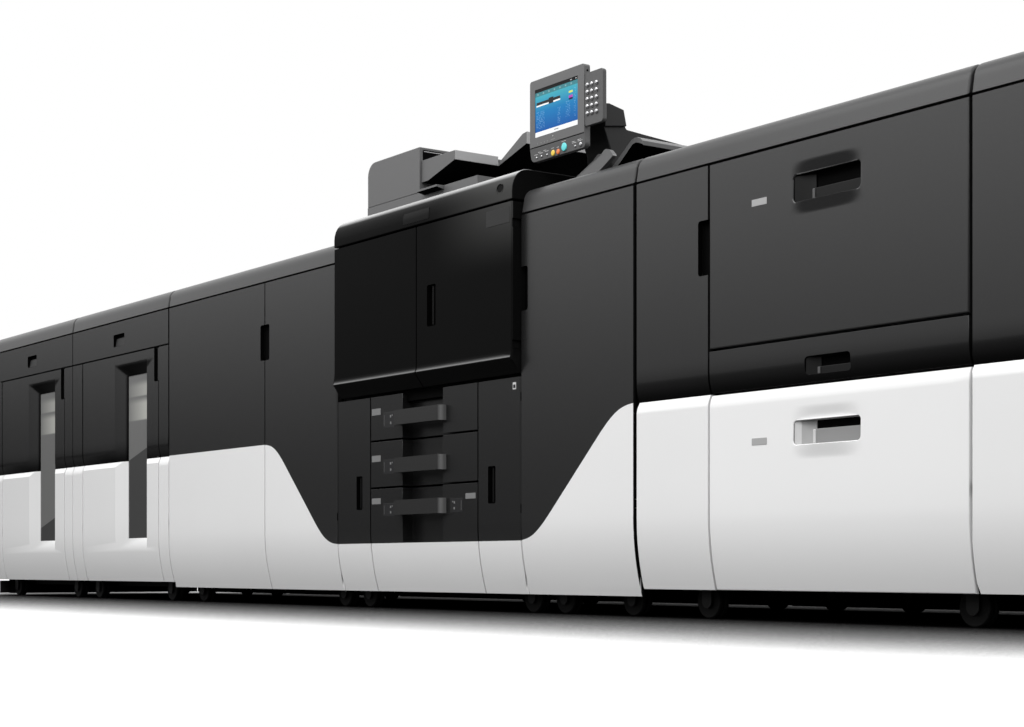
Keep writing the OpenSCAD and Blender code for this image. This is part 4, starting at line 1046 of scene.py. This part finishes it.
class PRINTER_OT_document(Operator):
    """Document feeder with its lid and trays"""
    bl_idname = "printer.document"
    bl_label = "Document Feeder"

    def execute(self, context):
        for node in ("document_cover", "document_feeder", "document_tray"):
            obj = solid_copy(node)
            bevel_edges(obj, sharp if node != "document_cover" else toward_front, 0.003)
            painted(obj, "scanner_grey")
            # painted shade: faces turned downwards are painted near black
            paint_faces(obj, "painted_shade_and_joint_black", lambda f: f.normal.z < -0.12 and (
                node == "document_tray" or face_middle(f).y < node_box("document_feeder")[0].y - 0.001))
            if node == "document_tray":
                # painted highlight on the tray's faces that turn right
                paint_faces(obj, "side_highlight_grey", lambda f: f.normal.x > 0.35)
            finished(obj, node + "_shell", "document_lid", "grey_plastic", node)
        low, high = node_box("document_feeder")
        # sheet outlet high on the feeder's right side, above the tray: a near-black block as painted shade of
        # the opening
        outlet = block(high.x - 0.001, high.x + 0.0008, low.y + 0.012, high.y - 0.02, 1.3640, 1.3960)
        bevel_edges(outlet, lambda e: along(e, "X"), 0.003, 3)
        painted(outlet, "painted_shade_and_joint_black")
        # a thin rib painted lighter: a painted highlight over the outlet
        rib = block(high.x, high.x + 0.0016, low.y + 0.016, high.y - 0.024, 1.3900, 1.3925)
        bevel_edges(rib, sharp, 0.0005, 2)
        painted(rib, "side_highlight_grey")
        finished(joined([outlet, rib]), "document_outlet", "document_lid", "grey_plastic")
        # pale pad under the lid, over the platen glass
        low, high = node_box("document_cover")
        pad = block(low.x + 0.03, high.x - 0.05, low.y + 0.05, high.y - 0.06, low.z - 0.00012, low.z + 0.001)
        bevel_edges(pad, lambda e: along(e, "Z"), 0.006, 3)
        painted(pad, "drawer_pale")
        finished(pad, "document_pad", "document_lid", "pale_panel")
        glass = block(low.x + 0.03, high.x - 0.05, low.y + 0.05, high.y - 0.06, DECK - 0.001, DECK + 0.00015)
        bevel_edges(glass, lambda e: along(e, "Z"), 0.006, 3)
        painted(glass, "platen_glass")
        finished(glass, "platen", "line", "pane")
        return {"FINISHED"}


def ledge_y(z):
    """Depth of the engine ledge's curved front at a height."""
    lift = min(1.0, max(0.0, (z - 1.146) / 0.064))
    return ENGINE_FRONT + 0.054 * (1 - math.sqrt(1 - lift * lift))


class PRINTER_OT_engine_marks(Operator):
    """Bare plates and the round button on the engine's front"""
    bl_idname = "printer.engine_marks"
    bl_label = "Engine Plates"

    def execute(self, context):
        y = ENGINE_FRONT
        badge = block(0.161, 0.301, y - 0.0008, y + 0.004, 1.134, 1.166)
        bevel_edges(badge, lambda e: along(e, "Y"), 0.003, 3)
        for z in (1.146, 1.152, 1.158, 1.162):
            cut(badge, z, "Z")
        for z in (1.152, 1.158, 1.162, 1.163, 1.166):
            select_parts(badge, "VERT", lambda v: abs(v.co.z - z) < 5e-4)
            shift(0, ledge_y(z) - y, 0)
            object_mode()
        bevel_edges(badge, lambda e: toward_front(e) and not along(e, "X"), 0.0003, 2)
        painted(badge, "gloss_plate")
        finished(badge, "engine_badge", "line", "gloss_black")
        # round button beside it, on the curve
        y = ledge_y(1.158)
        ring = rod(0.656, y + 0.0035, 1.158, 0.0155, 0.009, "Y", 40)
        bevel_edges(ring, toward_front, 0.001, 3)
        sink(ring, looks_ahead, (0.0035, 0.0016), (0.0012, -0.0012))
        painted(ring, "gloss_plate")
        finished(ring, "engine_button", "line", "gloss_black")
        for x, z0, z1, body, face in ((0.316, 0.825, 0.937, "engine_right_door", ENGINE_FRONT),
                                      (-0.136, 0.306, 0.402, "engine_lower_left_cover", FRONT),
                                      (0.579, 0.306, 0.402, "engine_lower_right_cover", FRONT)):
            lip = block(x - 0.003, x + 0.003, face + 0.004, face + 0.0152, z0, z1)
            bevel_edges(lip, toward_front, 0.0015, 3)
            painted(lip, "engine_black")
            finished(lip, body + "_slot_lip", body, "dark_panel")
        label = plate(0.592, 0.704, 1.062, 1.105, ENGINE_FRONT, 0.0008, 0.002, "label_dark")
        finished(label, "engine_label", "engine_right_door", "gloss_black")
        sticker = plate(0.679, 0.694, 0.611, 0.630, FRONT, 0.0004, 0.001, "label_pale", 0.0)
        mark = plate(0.6815, 0.6915, 0.614, 0.624, FRONT - 0.0003, 0.0004, 0.001, "plate_dark", 0.0)
        finished(joined([sticker, mark]), "engine_sticker", "engine_lower_right_cover", "steel")
        return {"FINISHED"}


PANEL_X = PRINT_X - 0.027
PANEL_Y = FRONT + 0.050
PANEL_LOW = node_box("control_panel")[0].z
PANEL_TOP = node_box("control_panel")[1].z
PANEL_W = 0.243


def groove_across(obj, y, low, high, depth, name):
    """A groove across a front face, between two heights."""
    for z in (low, high):
        cut(obj, z, "Z", lambda f: f.normal.y < -0.9)
    found = select_faces(obj, lambda f: f.normal.y < -0.9 and low < face_middle(f).z < high
                         and face_middle(f).y < y + 0.004)
    if not found:
        raise RuntimeError("no face for the groove")
    bpy.ops.mesh.extrude_region_move(TRANSFORM_OT_translate={"value": (0, depth, 0)})
    obj.active_material_index = obj.data.materials.find(name)
    bpy.ops.object.material_slot_assign()
    object_mode()
    return obj


def panel_shell():
    """The control panel's body with its screen, the lug for its pin and the keypad wing."""
    x0, x1, y, low, top = PANEL_X, PANEL_X + PANEL_W, PANEL_Y, PANEL_LOW, PANEL_TOP
    body = block(x0, x1, y, y + 0.020, low, top)
    cut(body, low + 0.038, "Z", lambda f: f.normal.y < -0.9)
    select_edges(body,
                 lambda e: along(e, "X") and e.verts[0].co.z < low + 0.001 and e.verts[0].co.y < y + 0.001)
    shift(0, 0.006, 0)
    object_mode()
    bevel_edges(body, lambda e: along(e, "Y") and e.verts[0].co.z > top - 0.001, 0.008, 5)
    bevel_edges(body, lambda e: along(e, "Y") and e.verts[0].co.z < low + 0.001, 0.014, 6)
    bevel_edges(body, lambda e: sharp(e, 40) and all(v.co.y > y + 0.0195 for v in e.verts)
                and max(v.co.z for v in e.verts) > low + 0.02, 0.009, 6)
    bevel_edges(body, lambda e: sharp(e, 40) and all(v.co.y < y + 0.0065 for v in e.verts), 0.0012, 3)
    painted(body, "scanner_grey")
    body.data.materials.append(material("painted_shade_and_joint_black"))
    body.data.materials.append(material("lit_screen"))
    # the groove is painted near black as painted shade
    groove_across(body, y, low + 0.0362, low + 0.0390, 0.003, "painted_shade_and_joint_black")
    # the screen lies a little below the body's face
    for at, way in ((SCREEN_X0, "X"), (SCREEN_X1, "X"), (SCREEN_Z0, "Z"), (SCREEN_Z1, "Z")):
        cut(body, at, way,
            lambda f: f.normal.y < -0.99 and face_middle(f).z > low + 0.04 and f.calc_area() > 0.0003)
    found = select_faces(body, lambda f: f.normal.y < -0.99 and f.calc_area() > 0.01
                         and abs(face_middle(f).z - (SCREEN_Z0 + SCREEN_Z1) / 2) < 0.01
                         and abs(face_middle(f).x - (SCREEN_X0 + SCREEN_X1) / 2) < 0.01)
    if found != 1:
        raise RuntimeError("screen faces: %d" % found)
    bpy.ops.mesh.extrude_region_move(TRANSFORM_OT_translate={"value": (0, 0.0011, 0)})
    body.active_material_index = body.data.materials.find("lit_screen")
    bpy.ops.object.material_slot_assign()
    object_mode()
    # the lug that the pin runs through, as the solid has it
    lug = solid_copy("control_panel")
    select_faces(lug, lambda f: True)
    bpy.ops.mesh.bisect(plane_co=(0, y + 0.0192, 0), plane_no=(0, 1, 0), clear_inner=True, use_fill=True)
    object_mode()
    painted(lug, "scanner_grey")
    # keypad wing
    pad = block(x1 - 0.001, x1 + 0.077, y + 0.002, y + 0.017, low + 0.053, low + 0.193)
    bevel_edges(pad, lambda e: along(e, "Y"), 0.009, 5)
    bevel_edges(pad, lambda e: sharp(e, 40) and all(v.co.y > y + 0.0165 for v in e.verts), 0.006, 4)
    bevel_edges(pad, lambda e: sharp(e, 40) and all(v.co.y < y + 0.0025 for v in e.verts), 0.0014, 3)
    painted(pad, "keypad_grey_and_lip_highlight")
    return [body, lug, pad]


def panel_keys(key):
    """The control panel's keys, the bars that stand for their legends, and the pen hole."""
    x0, x1, y, low, top = PANEL_X, PANEL_X + PANEL_W, PANEL_Y, PANEL_LOW, PANEL_TOP
    keys = []
    for row in range(5):
        for column, x in enumerate((0.0130, 0.0315, 0.0515)):
            keys.append(button(x1 + x, low + 0.160 - 0.0188 * row - 0.0005 * column, y + 0.002, key / 2,
                               0.0042, "key_silver"))

    def lean(z):
        return y + 0.006 * max(0.0, low + 0.038 - z) / 0.038

    for x, z, radius, name in ((0.101, 1.2430, 0.0082, "key_yellow"), (0.124, 1.2425, 0.0074, "key_orange"),
                               (0.152, 1.2500, 0.0116, "key_cyan"), (0.026, 1.2430, 0.0034, "key_silver"),
                               (0.049, 1.2430, 0.0034, "key_silver"), (0.074, 1.2430, 0.0034, "key_silver"),
                               (0.199, 1.2430, 0.0036, "key_silver"), (0.223, 1.2440, 0.0060, "key_silver")):
        keys.append(button(x0 + x, z + 0.001, lean(z) + 0.0004, radius, 0.0026, name))
    # plain bars where the keys carry their legends
    for x, z, w in ((0.018, 1.2515, 0.014), (0.041, 1.2525, 0.014), (0.066, 1.2530, 0.016),
                    (0.095, 1.2560, 0.012), (0.119, 1.2545, 0.010), (0.143, 1.2650, 0.018),
                    (0.187, 1.2530, 0.018), (0.187, 1.2565, 0.012), (0.212, 1.2540, 0.020),
                    (0.212, 1.2575, 0.014), (0.036, 1.2560, 0.010), (0.060, 1.2565, 0.012)):
        keys.append(plate(x0 + x, x0 + x + w, z, z + 0.0012, lean(z), 0.0003, 0.0, "label_pale", 0.0))
    for x, w in ((0.034, 0.004), (0.050, 0.005), (0.065, 0.005), (0.079, 0.005), (0.096, 0.020)):
        keys.append(plate(x0 + x, x0 + x + w, 1.2780, 1.2810, y, 0.0004, 0.0, "label_grey", 0.0))
    keys.append(button(x0 + 0.106, 1.2885, y, 0.0016, 0.0012, "label_pale", 12))
    # a pen hole high on the body's right side: a near-black disc as painted shade of the hole
    keys.append(painted(rod(x1 - 0.0002, y + 0.011, top - 0.018, 0.0028, 0.0016, "X", 16), "painted_shade_and_joint_black"))
    return keys


class PRINTER_OT_screen(Operator):
    """Control panel: its body, screen, keys and keypad"""
    bl_idname = "printer.screen"
    bl_label = "Control Panel"

    def execute(self, context):
        key = context.scene.line_sizes.key
        finished(joined(panel_shell()), "control_panel_shell", "control_panel", "grey_plastic",
                 "control_panel", angle=40.0)
        finished(joined(panel_keys(key)), "control_panel_keys", "control_panel", "grey_plastic",
                 angle=50.0, flat=False)
        return {"FINISHED"}


class PRINTER_OT_column(Operator):
    """The screen's column, the paper guides and the exit tray on the print unit"""
    bl_idname = "printer.column"
    bl_label = "Column and Guides"

    def execute(self, context):
        obj = solid_copy("panel_column")
        bevel_edges(obj, lambda e: sharp(e, 30) and e.calc_length() > 0.012, 0.0035, 4)
        painted(obj, "column_black")
        finished(obj, "column_shell", "line", "dark_panel", "panel_column")
        obj = solid_copy("paper_guides")
        bevel_edges(obj, lambda e: sharp(e, 15) and along(e, "Y"), 0.006, 5)
        bevel_edges(obj, lambda e: sharp(e, 40) and not along(e, "Y"), 0.0015, 2)
        painted(obj, "scanner_grey")
        # painted highlight on the slabs' faces that turn right
        paint_faces(obj, "side_highlight_grey", lambda f: f.normal.x > 0.9)
        finished(obj, "paper_guide_slabs", "line", "grey_plastic", "paper_guides")
        obj = solid_copy("exit_tray")
        bevel_edges(obj, lambda e: sharp(e, 40) and not along(e, "Y"), 0.0015, 2)
        painted(obj, "scanner_grey")
        # painted shade on the tray's underside
        paint_faces(obj, "painted_shade_and_joint_black", lambda f: f.normal.z < -0.2)
        finished(obj, "exit_tray_sheet", "line", "grey_plastic", "exit_tray")
        return {"FINISHED"}


class PRINTER_OT_casters(Operator):
    """Twin wheels of the casters"""
    bl_idname = "printer.casters"
    bl_label = "Caster Wheels"

    def execute(self, context):
        solid_copy("caster_wheels")
        bpy.ops.object.mode_set(mode="EDIT")
        bpy.ops.mesh.select_all(action="SELECT")
        bpy.ops.mesh.separate(type="LOOSE")
        object_mode()
        places = []
        for wheel in list(context.selected_objects):
            low = Vector([min(v.co[k] for v in wheel.data.vertices) for k in range(3)])
            high = Vector([max(v.co[k] for v in wheel.data.vertices) for k in range(3)])
            places.append((low + high) / 2)
            radius, width = (high.z - low.z) / 2, high.y - low.y
        bpy.ops.object.delete()
        places.sort(key=lambda p: (round(p.x, 3), p.y))
        first = places[0]
        parts = []
        for side in (-1, 1):
            y = first.y + side * width * 0.29
            tyre = rod(first.x, y, first.z, radius, width * 0.40, "Y", 40)
            bevel_edges(tyre, sharp, 0.0035, 4)
            for way in (-1, 1):
                sink(tyre, lambda f: f.normal.y * way > 0.99 and f.calc_area() > 0.001,
                     (0.010, -way * 0.0018))
            painted(tyre, "rubber")
            parts.append(tyre)
            cap = rod(first.x, first.y + side * width * 0.46, first.z, 0.011, width * 0.06, "Y", 24)
            bevel_edges(cap, sharp, 0.0006, 2)
            parts.append(painted(cap, "caster_black"))
        core = rod(first.x, first.y, first.z, 0.017, width * 0.5, "Y", 24)
        bevel_edges(core, sharp, 0.001, 2)
        parts.append(painted(core, "caster_black"))
        twin = joined(parts)
        wheels = [twin] + [copy_of(twin, *(place - first)) for place in places[1:]]
        finished(joined(wheels), "caster_wheel_set", "line", "wheel", "caster_wheels")
        return {"FINISHED"}


UNITS = ["stacker_1", "stacker_2", "delivery", "engine", "print", "feeder_1", "feeder_2"]


def screw(x, y, z, way):
    """A screw head on a surface that faces the rear (way +1) or the front (-1)."""
    head = rod(x, y + way * 0.0004, z, 0.0042, 0.0024, "Y", 16)
    bevel_edges(head, lambda e: sharp(e) and any(f.normal.y * way > 0.9 for f in e.link_faces), 0.0006, 2)
    return painted(head, "zinc_steel")


def rear_sheet(x0, x1, z0, z1):
    """A rear sheet with round corners, a block of louvres and six screws."""
    sheet = block(x0, x1, REAR - 0.001, REAR + 0.0012, z0, z1)
    bevel_edges(sheet, lambda e: along(e, "Y"), 0.006, 3)
    bevel_edges(sheet, lambda e: sharp(e) and any(f.normal.y > 0.9 for f in e.link_faces), 0.0008, 2)
    mid, wide = (x0 + x1) / 2, min(0.13, (x1 - x0) * 0.36)
    louvre = block(mid - wide, mid + wide, REAR + 0.0008, REAR + 0.0052, 0.20, 0.209)
    select_edges(louvre,
                 lambda e: along(e, "X") and e.verts[0].co.z > 0.208 and e.verts[0].co.y > REAR + 0.005)
    shift(0, -0.0035, 0)
    object_mode()
    bevel_edges(louvre, lambda e: sharp(e, 40), 0.0008, 2)
    painted(louvre, "rear_panel")
    # painted shade under each louvre
    paint_faces(louvre, "painted_shade_and_joint_black", lambda f: f.normal.z < -0.7)
    louvres = [copy_of(louvre, z=0.015 * row) for row in range(1, 12)] + [louvre]
    screws = [screw(x, REAR + 0.0012, z, 1) for x in (x0 + 0.02, x1 - 0.02)
              for z in (z0 + 0.02, (z0 + z1) / 2, z1 - 0.02)]
    return [painted(sheet, "rear_panel"), *louvres, *screws]

class PRINTER_OT_rear(Operator):
    """Rear and end panels with their louvres and screws"""
    bl_idname = "printer.rear"
    bl_label = "Rear and End Panels"

    def execute(self, context):
        for unit in UNITS:
            low, high = node_box(unit + "_cabinet")
            x0, x1, z0, z1 = low.x + 0.012, high.x - 0.012, low.z + 0.012, min(high.z, 1.087) - 0.012
            parts = []
            count = 2 if x1 - x0 > 0.6 else 1
            for k in range(count):
                a, b = x0 + (x1 - x0) * k / count + 0.002, x0 + (x1 - x0) * (k + 1) / count - 0.002
                parts += rear_sheet(a, b, z0, z1)
            finished(joined(parts), unit + "_rear_sheets", "line", "dark_panel")
        for name, x, way in (("left_end", STACKER_1_X + GAP, -1), ("right_end", LINE_END - GAP, 1)):
            sheet = block(x - 0.001, x + 0.001, -0.430, REAR - 0.02, 0.14, 1.07)
            select_faces(sheet, lambda f: f.normal.x * way > 0.9)
            shift(way * 0.0006, 0, 0)
            bpy.ops.mesh.inset(thickness=0.030)
            shift(-way * 0.0009, 0, 0)
            object_mode()
            bevel_edges(sheet, lambda e: along(e, "X") and e.calc_length() > 0.0014, 0.008, 4)
            painted(sheet, "dark_moulding")
            finished(sheet, name + "_sheet", "line", "dark_panel")
        # strips that close the joints between the frames' kick plates at the rear and in front of the end
        # plates: dark sheets put there as shade, so the space under the line stays dark
        rear_y = node_box("base_frames")[1].y
        strips = [block(x - 0.035, x + 0.035, rear_y - 0.003, rear_y + 0.0012, 0.010, 0.118)
                  for x in (STACKER_2_X, DELIVERY_X, ENGINE_X, PRINT_X, FEEDER_1_X, FEEDER_2_X)]
        strips.append(block(STACKER_1_X + GAP, STACKER_1_X + GAP + 0.004, FRONT + 0.026, FRONT + 0.076,
                            0.010, 0.065))
        for strip in strips:
            bevel_edges(strip, sharp, 0.001, 2)
            painted(strip, "frame_black")
        finished(joined(strips), "underside_shade_strips", "line", "frame")
        return {"FINISHED"}


# Inner spaces behind the doors: x0, x1, z0, z1
INNER = {
    "delivery": (DELIVERY_X + 0.021, ENGINE_X - 0.021, 0.140, 1.066),
    "engine": (ENGINE_X + 0.046, PRINT_X - 0.021, 0.672, 1.103),
    "print": (PRINT_X + 0.021, FEEDER_1_X - 0.021, 0.140, 1.066),
    "feeder_1": (FEEDER_1_X + 0.021, FEEDER_1_X + 0.258, 0.140, 1.066),
    "feeder_2": (FEEDER_2_X + 0.021, FEEDER_2_X + 0.258, 0.140, 1.066),
}
INNER_Y = -0.396


def turning_lever(x, y, z):
    """A lever on its boss, on a wall that faces the front at y."""
    boss = rod(x, y - 0.004, z, 0.026, 0.010, "Y", 32)
    bevel_edges(boss, toward_front, 0.002, 3)
    lever = block(x - 0.011, x + 0.011, y - 0.021, y - 0.008, z - 0.012, z + 0.062)
    bevel_edges(lever, lambda e: along(e, "Y"), 0.008, 4)
    bevel_edges(lever, toward_front, 0.0024, 3)
    return [painted(boss, "inner_dark"), painted(lever, "lever_green")]

def knob_and_slits(x0, x1, y, z, top):
    """A knob under a row of slits, on a wall that faces the front at y."""
    knob = rod((x0 + x1) / 2, y - 0.012, z, 0.022, 0.026, "Y", 28)
    sink(knob, looks_ahead, (0.005, 0.003))
    bevel_edges(knob, toward_front, 0.0012, 2)
    parts = [painted(knob, "lever_green")]
    for row in range(5):
        z1 = top - 0.044 - 0.012 * row
        # each slit is a near-black block: painted shade of an opening
        slit = block(x0 + 0.04, x1 - 0.04, y - 0.0012, y + 0.0005, z1 - 0.006, z1)
        bevel_edges(slit, lambda e: along(e, "Y"), 0.0024, 3)
        parts.append(painted(slit, "painted_shade_and_joint_black"))
    return parts

class PRINTER_OT_interiors(Operator):
    """Inner covers, levers and guides behind the doors"""
    bl_idname = "printer.interiors"
    bl_label = "Interiors"

    def execute(self, context):
        for name, (x0, x1, z0, z1) in INNER.items():
            parts = []
            # inner wall in upright strips
            count = max(1, round((x1 - x0) / 0.30))
            for k in range(count):
                a, b = x0 + (x1 - x0) * k / count + 0.003, x0 + (x1 - x0) * (k + 1) / count - 0.003
                rows = [(z0 + 0.004, z0 + (z1 - z0) * 0.36), (z0 + (z1 - z0) * 0.36 + 0.005, z1 - 0.004)]
                for number, (low, high) in enumerate(rows):
                    thick = 0.010 if (k + number) % 2 else 0.016
                    wall = block(a, b, INNER_Y - thick, INNER_Y + 0.001, low, high)
                    bevel_edges(wall, lambda e: along(e, "Y"), 0.008, 4)
                    sink(wall, looks_ahead, (0.006, 0.003))
                    bevel_edges(wall, toward_front, 0.0014, 2)
                    parts.append(painted(wall, "inner_grey" if (k + number) % 2 else "inner_dark"))
                    face = INNER_Y - thick + 0.003
                    if (k + number) % 2:
                        parts += turning_lever((a + b) / 2, face, (low + high) / 2 + 0.03)
                    else:
                        parts += knob_and_slits(a, b, face, low + (high - low) * 0.3, high)
                    for sx in (a + 0.009, b - 0.009):
                        for sz in (low + 0.011, high - 0.011):
                            parts.append(screw(sx, INNER_Y - thick, sz, -1))
            finished(joined(parts), name + "_inner_covers", "line", "grey_plastic")
        # paper roll guides inside the stackers, over their tables
        for k, x in ((1, STACKER_1_X), (2, STACKER_2_X)):
            parts = []
            bar = rod(x + 0.458, -0.30, 0.90, 0.012, 0.84, "X", 24)
            bevel_edges(bar, sharp, 0.0015, 2)
            parts.append(painted(bar, "bright_steel"))
            for n in range(6):
                roller = rod(x + 0.158 + 0.12 * n, -0.30, 0.90, 0.021, 0.034, "X", 28)
                bevel_edges(roller, sharp, 0.003, 3)
                parts.append(painted(roller, "rubber"))
            hood = block(x + 0.045, x + 0.871, -0.27, -0.10, 0.84, 0.925)
            bevel_edges(hood, lambda e: along(e, "X"), 0.012, 4)
            parts.append(painted(hood, "inner_grey"))
            finished(joined(parts), "stacker_%d_rollers" % k, "line", "grey_plastic")
        return {"FINISHED"}


# Floors of the drawers' trays and the height of the paper in them
PAPER = {"upper": (0.660, 0.235), "middle": (0.556, 0.040), "lower": (0.152, 0.22)}


class PRINTER_OT_sheets(Operator):
    """Paper stacks and side guides in the feeder drawers"""
    bl_idname = "printer.sheets"
    bl_label = "Paper Stacks"

    def execute(self, context):
        for k, x, which in DRAWERS:
            node = "feeder_%d_%s_drawer" % (k, which)
            floor, height = PAPER[which]
            x0, x1 = x + 0.38, x + 0.97
            parts = []
            stack = block(x0, x1, -0.40, 0.04, floor + 0.0005, floor + height)
            bevel_edges(stack, lambda e: along(e, "Z"), 0.0015, 2)
            bevel_edges(stack, lambda e: sharp(e) and e.verts[0].co.z > floor + height - 0.001
                        and e.verts[1].co.z > floor + height - 0.001, 0.001, 2)
            parts.append(painted(stack, "paper"))
            for a, b in ((x0 - 0.016, x0 - 0.003), (x1 + 0.003, x1 + 0.016)):
                guide = block(a, b, -0.30, -0.08, floor + 0.0005, floor + height + 0.006)
                bevel_edges(guide, lambda e: along(e, "X"), 0.006, 3)
                bevel_edges(guide, lambda e: sharp(e, 60), 0.0008, 2)
                parts.append(painted(guide, "table_grey"))
            finished(joined(parts), node + "_sheets", node, "pale_panel")
        return {"FINISHED"}


SOLID_FINISHES = {
    "caster_forks": "caster_black", "base_frames": "frame_black",
    "hinges": "frame_black", "drawer_rails": "zinc_steel", "stacker_1_cabinet": "dark_moulding",
    "stacker_2_cabinet": "dark_moulding", "stacker_tables": "table_grey", "delivery_cabinet": "dark_moulding",
    "engine_cabinet": "engine_black", "print_cabinet": "dark_moulding", "feeder_1_cabinet": "dark_moulding",
    "feeder_2_cabinet": "dark_moulding",
}


class PRINTER_OT_solids(Operator):
    """Finishes of the solids that show as they are"""
    bl_idname = "printer.solids"
    bl_label = "Cabinets and Frames"

    def execute(self, context):
        for name, finish in SOLID_FINISHES.items():
            painted(frame["nodes"][name], finish)
        return {"FINISHED"}


# ---- Stage -----------------------------------------------------------------

def floor_material():
    """White floor with a painted contact shadow, from ambient occlusion in its colour; it throws little light
    back under the cabinets.
    """
    mat = bpy.data.materials.new("floor_white")
    mat.use_nodes = True
    tree = mat.node_tree
    tree.nodes.remove(tree.nodes["Principled BSDF"])
    seen = add(tree, "ShaderNodeBsdfDiffuse")
    # painted contact shadow: ambient occlusion darkens the floor's colour near the line
    painted_contact_shadow = add(tree, "ShaderNodeAmbientOcclusion", samples=8)
    painted_contact_shadow.inputs["Distance"].default_value = 1.25
    deep = math_node(tree, "POWER", painted_contact_shadow.outputs["AO"], 6.5)
    tree.links.new(mix_colour(tree, deep, (0.004, 0.004, 0.004), (0.88, 0.88, 0.88)), seen.inputs["Color"])
    bounce = add(tree, "ShaderNodeBsdfDiffuse")
    bounce.inputs["Color"].default_value = (0.1, 0.1, 0.1, 1)
    path = add(tree, "ShaderNodeLightPath")
    mix = add(tree, "ShaderNodeMixShader")
    tree.links.new(path.outputs["Is Camera Ray"], mix.inputs["Fac"])
    tree.links.new(bounce.outputs["BSDF"], mix.inputs[1])
    polish = add(tree, "ShaderNodeBsdfGlossy")
    polish.inputs["Roughness"].default_value = 0.12
    polished = add(tree, "ShaderNodeMixShader")
    polished.inputs["Fac"].default_value = 0.05
    tree.links.new(seen.outputs["BSDF"], polished.inputs[1])
    tree.links.new(polish.outputs["BSDF"], polished.inputs[2])
    tree.links.new(polished.outputs["Shader"], mix.inputs[2])
    tree.links.new(mix.outputs["Shader"], tree.nodes["Material Output"].inputs["Surface"])
    return mat


# The camera: place along the line and distance from its front in metres, turn to the left in degrees, lens in
# millimetres, and vertical shift as a share of the width
CAMERA_X, CAMERA_AWAY, CAMERA_TURN = 4.7826, 2.9306, 54.4946
CAMERA_LENS, CAMERA_SHIFT = 64.8984, 0.19873

class PRINTER_OT_stage(Operator):
    """Adds the floor, the lights, the world and the camera"""
    bl_idname = "printer.stage"
    bl_label = "Stage"

    def execute(self, context):
        sizes = context.scene.line_sizes
        deselect()
        bpy.ops.mesh.primitive_plane_add(size=60)
        floor = context.object
        floor.name = "floor"
        floor.data.materials.append(floor_material())

        world = bpy.data.worlds.new("studio")
        context.scene.world = world
        world.use_nodes = True
        tree = world.node_tree
        back = tree.nodes["Background"]
        back.inputs["Color"].default_value = (1, 1, 1, 1)
        # the room is dark at the floor's edge and bright above it
        _, _, up = axes(tree, add(tree, "ShaderNodeTexCoord").outputs["Generated"])
        tree.links.new(ramp_node(tree, up, 0.04, 0.30, 0.0, 1.4), back.inputs["Strength"])
        path = add(tree, "ShaderNodeLightPath")
        white = add(tree, "ShaderNodeBackground")
        white.inputs["Color"].default_value = (1, 1, 1, 1)
        mix = add(tree, "ShaderNodeMixShader")
        tree.links.new(path.outputs["Is Camera Ray"], mix.inputs["Fac"])
        tree.links.new(back.outputs["Background"], mix.inputs[1])
        tree.links.new(white.outputs["Background"], mix.inputs[2])
        tree.links.new(mix.outputs["Shader"], tree.nodes["World Output"].inputs["Surface"])

        deselect()
        bpy.ops.object.light_add(type="AREA", location=(1.2, -3.6, 4.4))
        key = context.object
        key.name = "softbox"
        key.data.shape = "RECTANGLE"
        key.data.size = 8.0
        key.data.size_y = 2.6
        key.data.energy = 200
        key.rotation_euler = (math.radians(46), 0, 0)

        bpy.ops.object.camera_add(location=(CAMERA_X, FRONT - CAMERA_AWAY, sizes.camera_height))
        camera = context.object
        camera.name = "camera"
        camera.rotation_euler = (math.radians(90), 0, math.radians(CAMERA_TURN))
        camera.data.lens = CAMERA_LENS
        camera.data.sensor_width = 36.0
        camera.data.shift_y = CAMERA_SHIFT
        camera.data.clip_end = 200
        context.scene.camera = camera
        context.scene.view_settings.view_transform = "Standard"
        return {"FINISHED"}


STEPS = [
    PRINTER_OT_finishes, PRINTER_OT_solids, PRINTER_OT_covers, PRINTER_OT_doors, PRINTER_OT_stackers,
    PRINTER_OT_drawers, PRINTER_OT_cassettes, PRINTER_OT_engine_marks, PRINTER_OT_document, PRINTER_OT_screen,
    PRINTER_OT_column, PRINTER_OT_casters, PRINTER_OT_rear, PRINTER_OT_interiors, PRINTER_OT_sheets,
    PRINTER_OT_stage,
]


class PRINTER_PT_line(Panel):
    """Sizes, colours and steps of the printer line"""
    bl_idname = "PRINTER_PT_line"
    bl_label = "Printer Line"
    bl_space_type = "VIEW_3D"
    bl_region_type = "UI"
    bl_category = "Printer Line"

    def draw(self, context):
        layout = self.layout
        sizes, colours = context.scene.line_sizes, context.scene.line_colours
        for group, names in ((sizes, ("edge", "dish", "key", "camera_height")),
                             (colours, ("dark", "pale", "cover", "gloss", "grey"))):
            for name in names:
                layout.prop(group, name)
        for step in STEPS:
            layout.operator(step.bl_idname)


CLASSES = [LineSizes, LineColours, *STEPS, PRINTER_PT_line]


def register():
    for cls in CLASSES:
        bpy.utils.register_class(cls)
    bpy.types.Scene.line_sizes = PointerProperty(type=LineSizes)
    bpy.types.Scene.line_colours = PointerProperty(type=LineColours)


def unregister():
    del bpy.types.Scene.line_sizes
    del bpy.types.Scene.line_colours
    for cls in reversed(CLASSES):
        bpy.utils.unregister_class(cls)


def main():
    register()
    bpy.ops.printer.finishes()
    bpy.ops.printer.solids()
    bpy.ops.printer.covers()
    bpy.ops.printer.doors()
    bpy.ops.printer.stackers()
    bpy.ops.printer.drawers()
    bpy.ops.printer.cassettes()
    bpy.ops.printer.engine_marks()
    bpy.ops.printer.document()
    bpy.ops.printer.screen()
    bpy.ops.printer.column()
    bpy.ops.printer.casters()
    bpy.ops.printer.rear()
    bpy.ops.printer.interiors()
    bpy.ops.printer.sheets()
    bpy.ops.printer.stage()


if __name__ == "__main__":
    main()
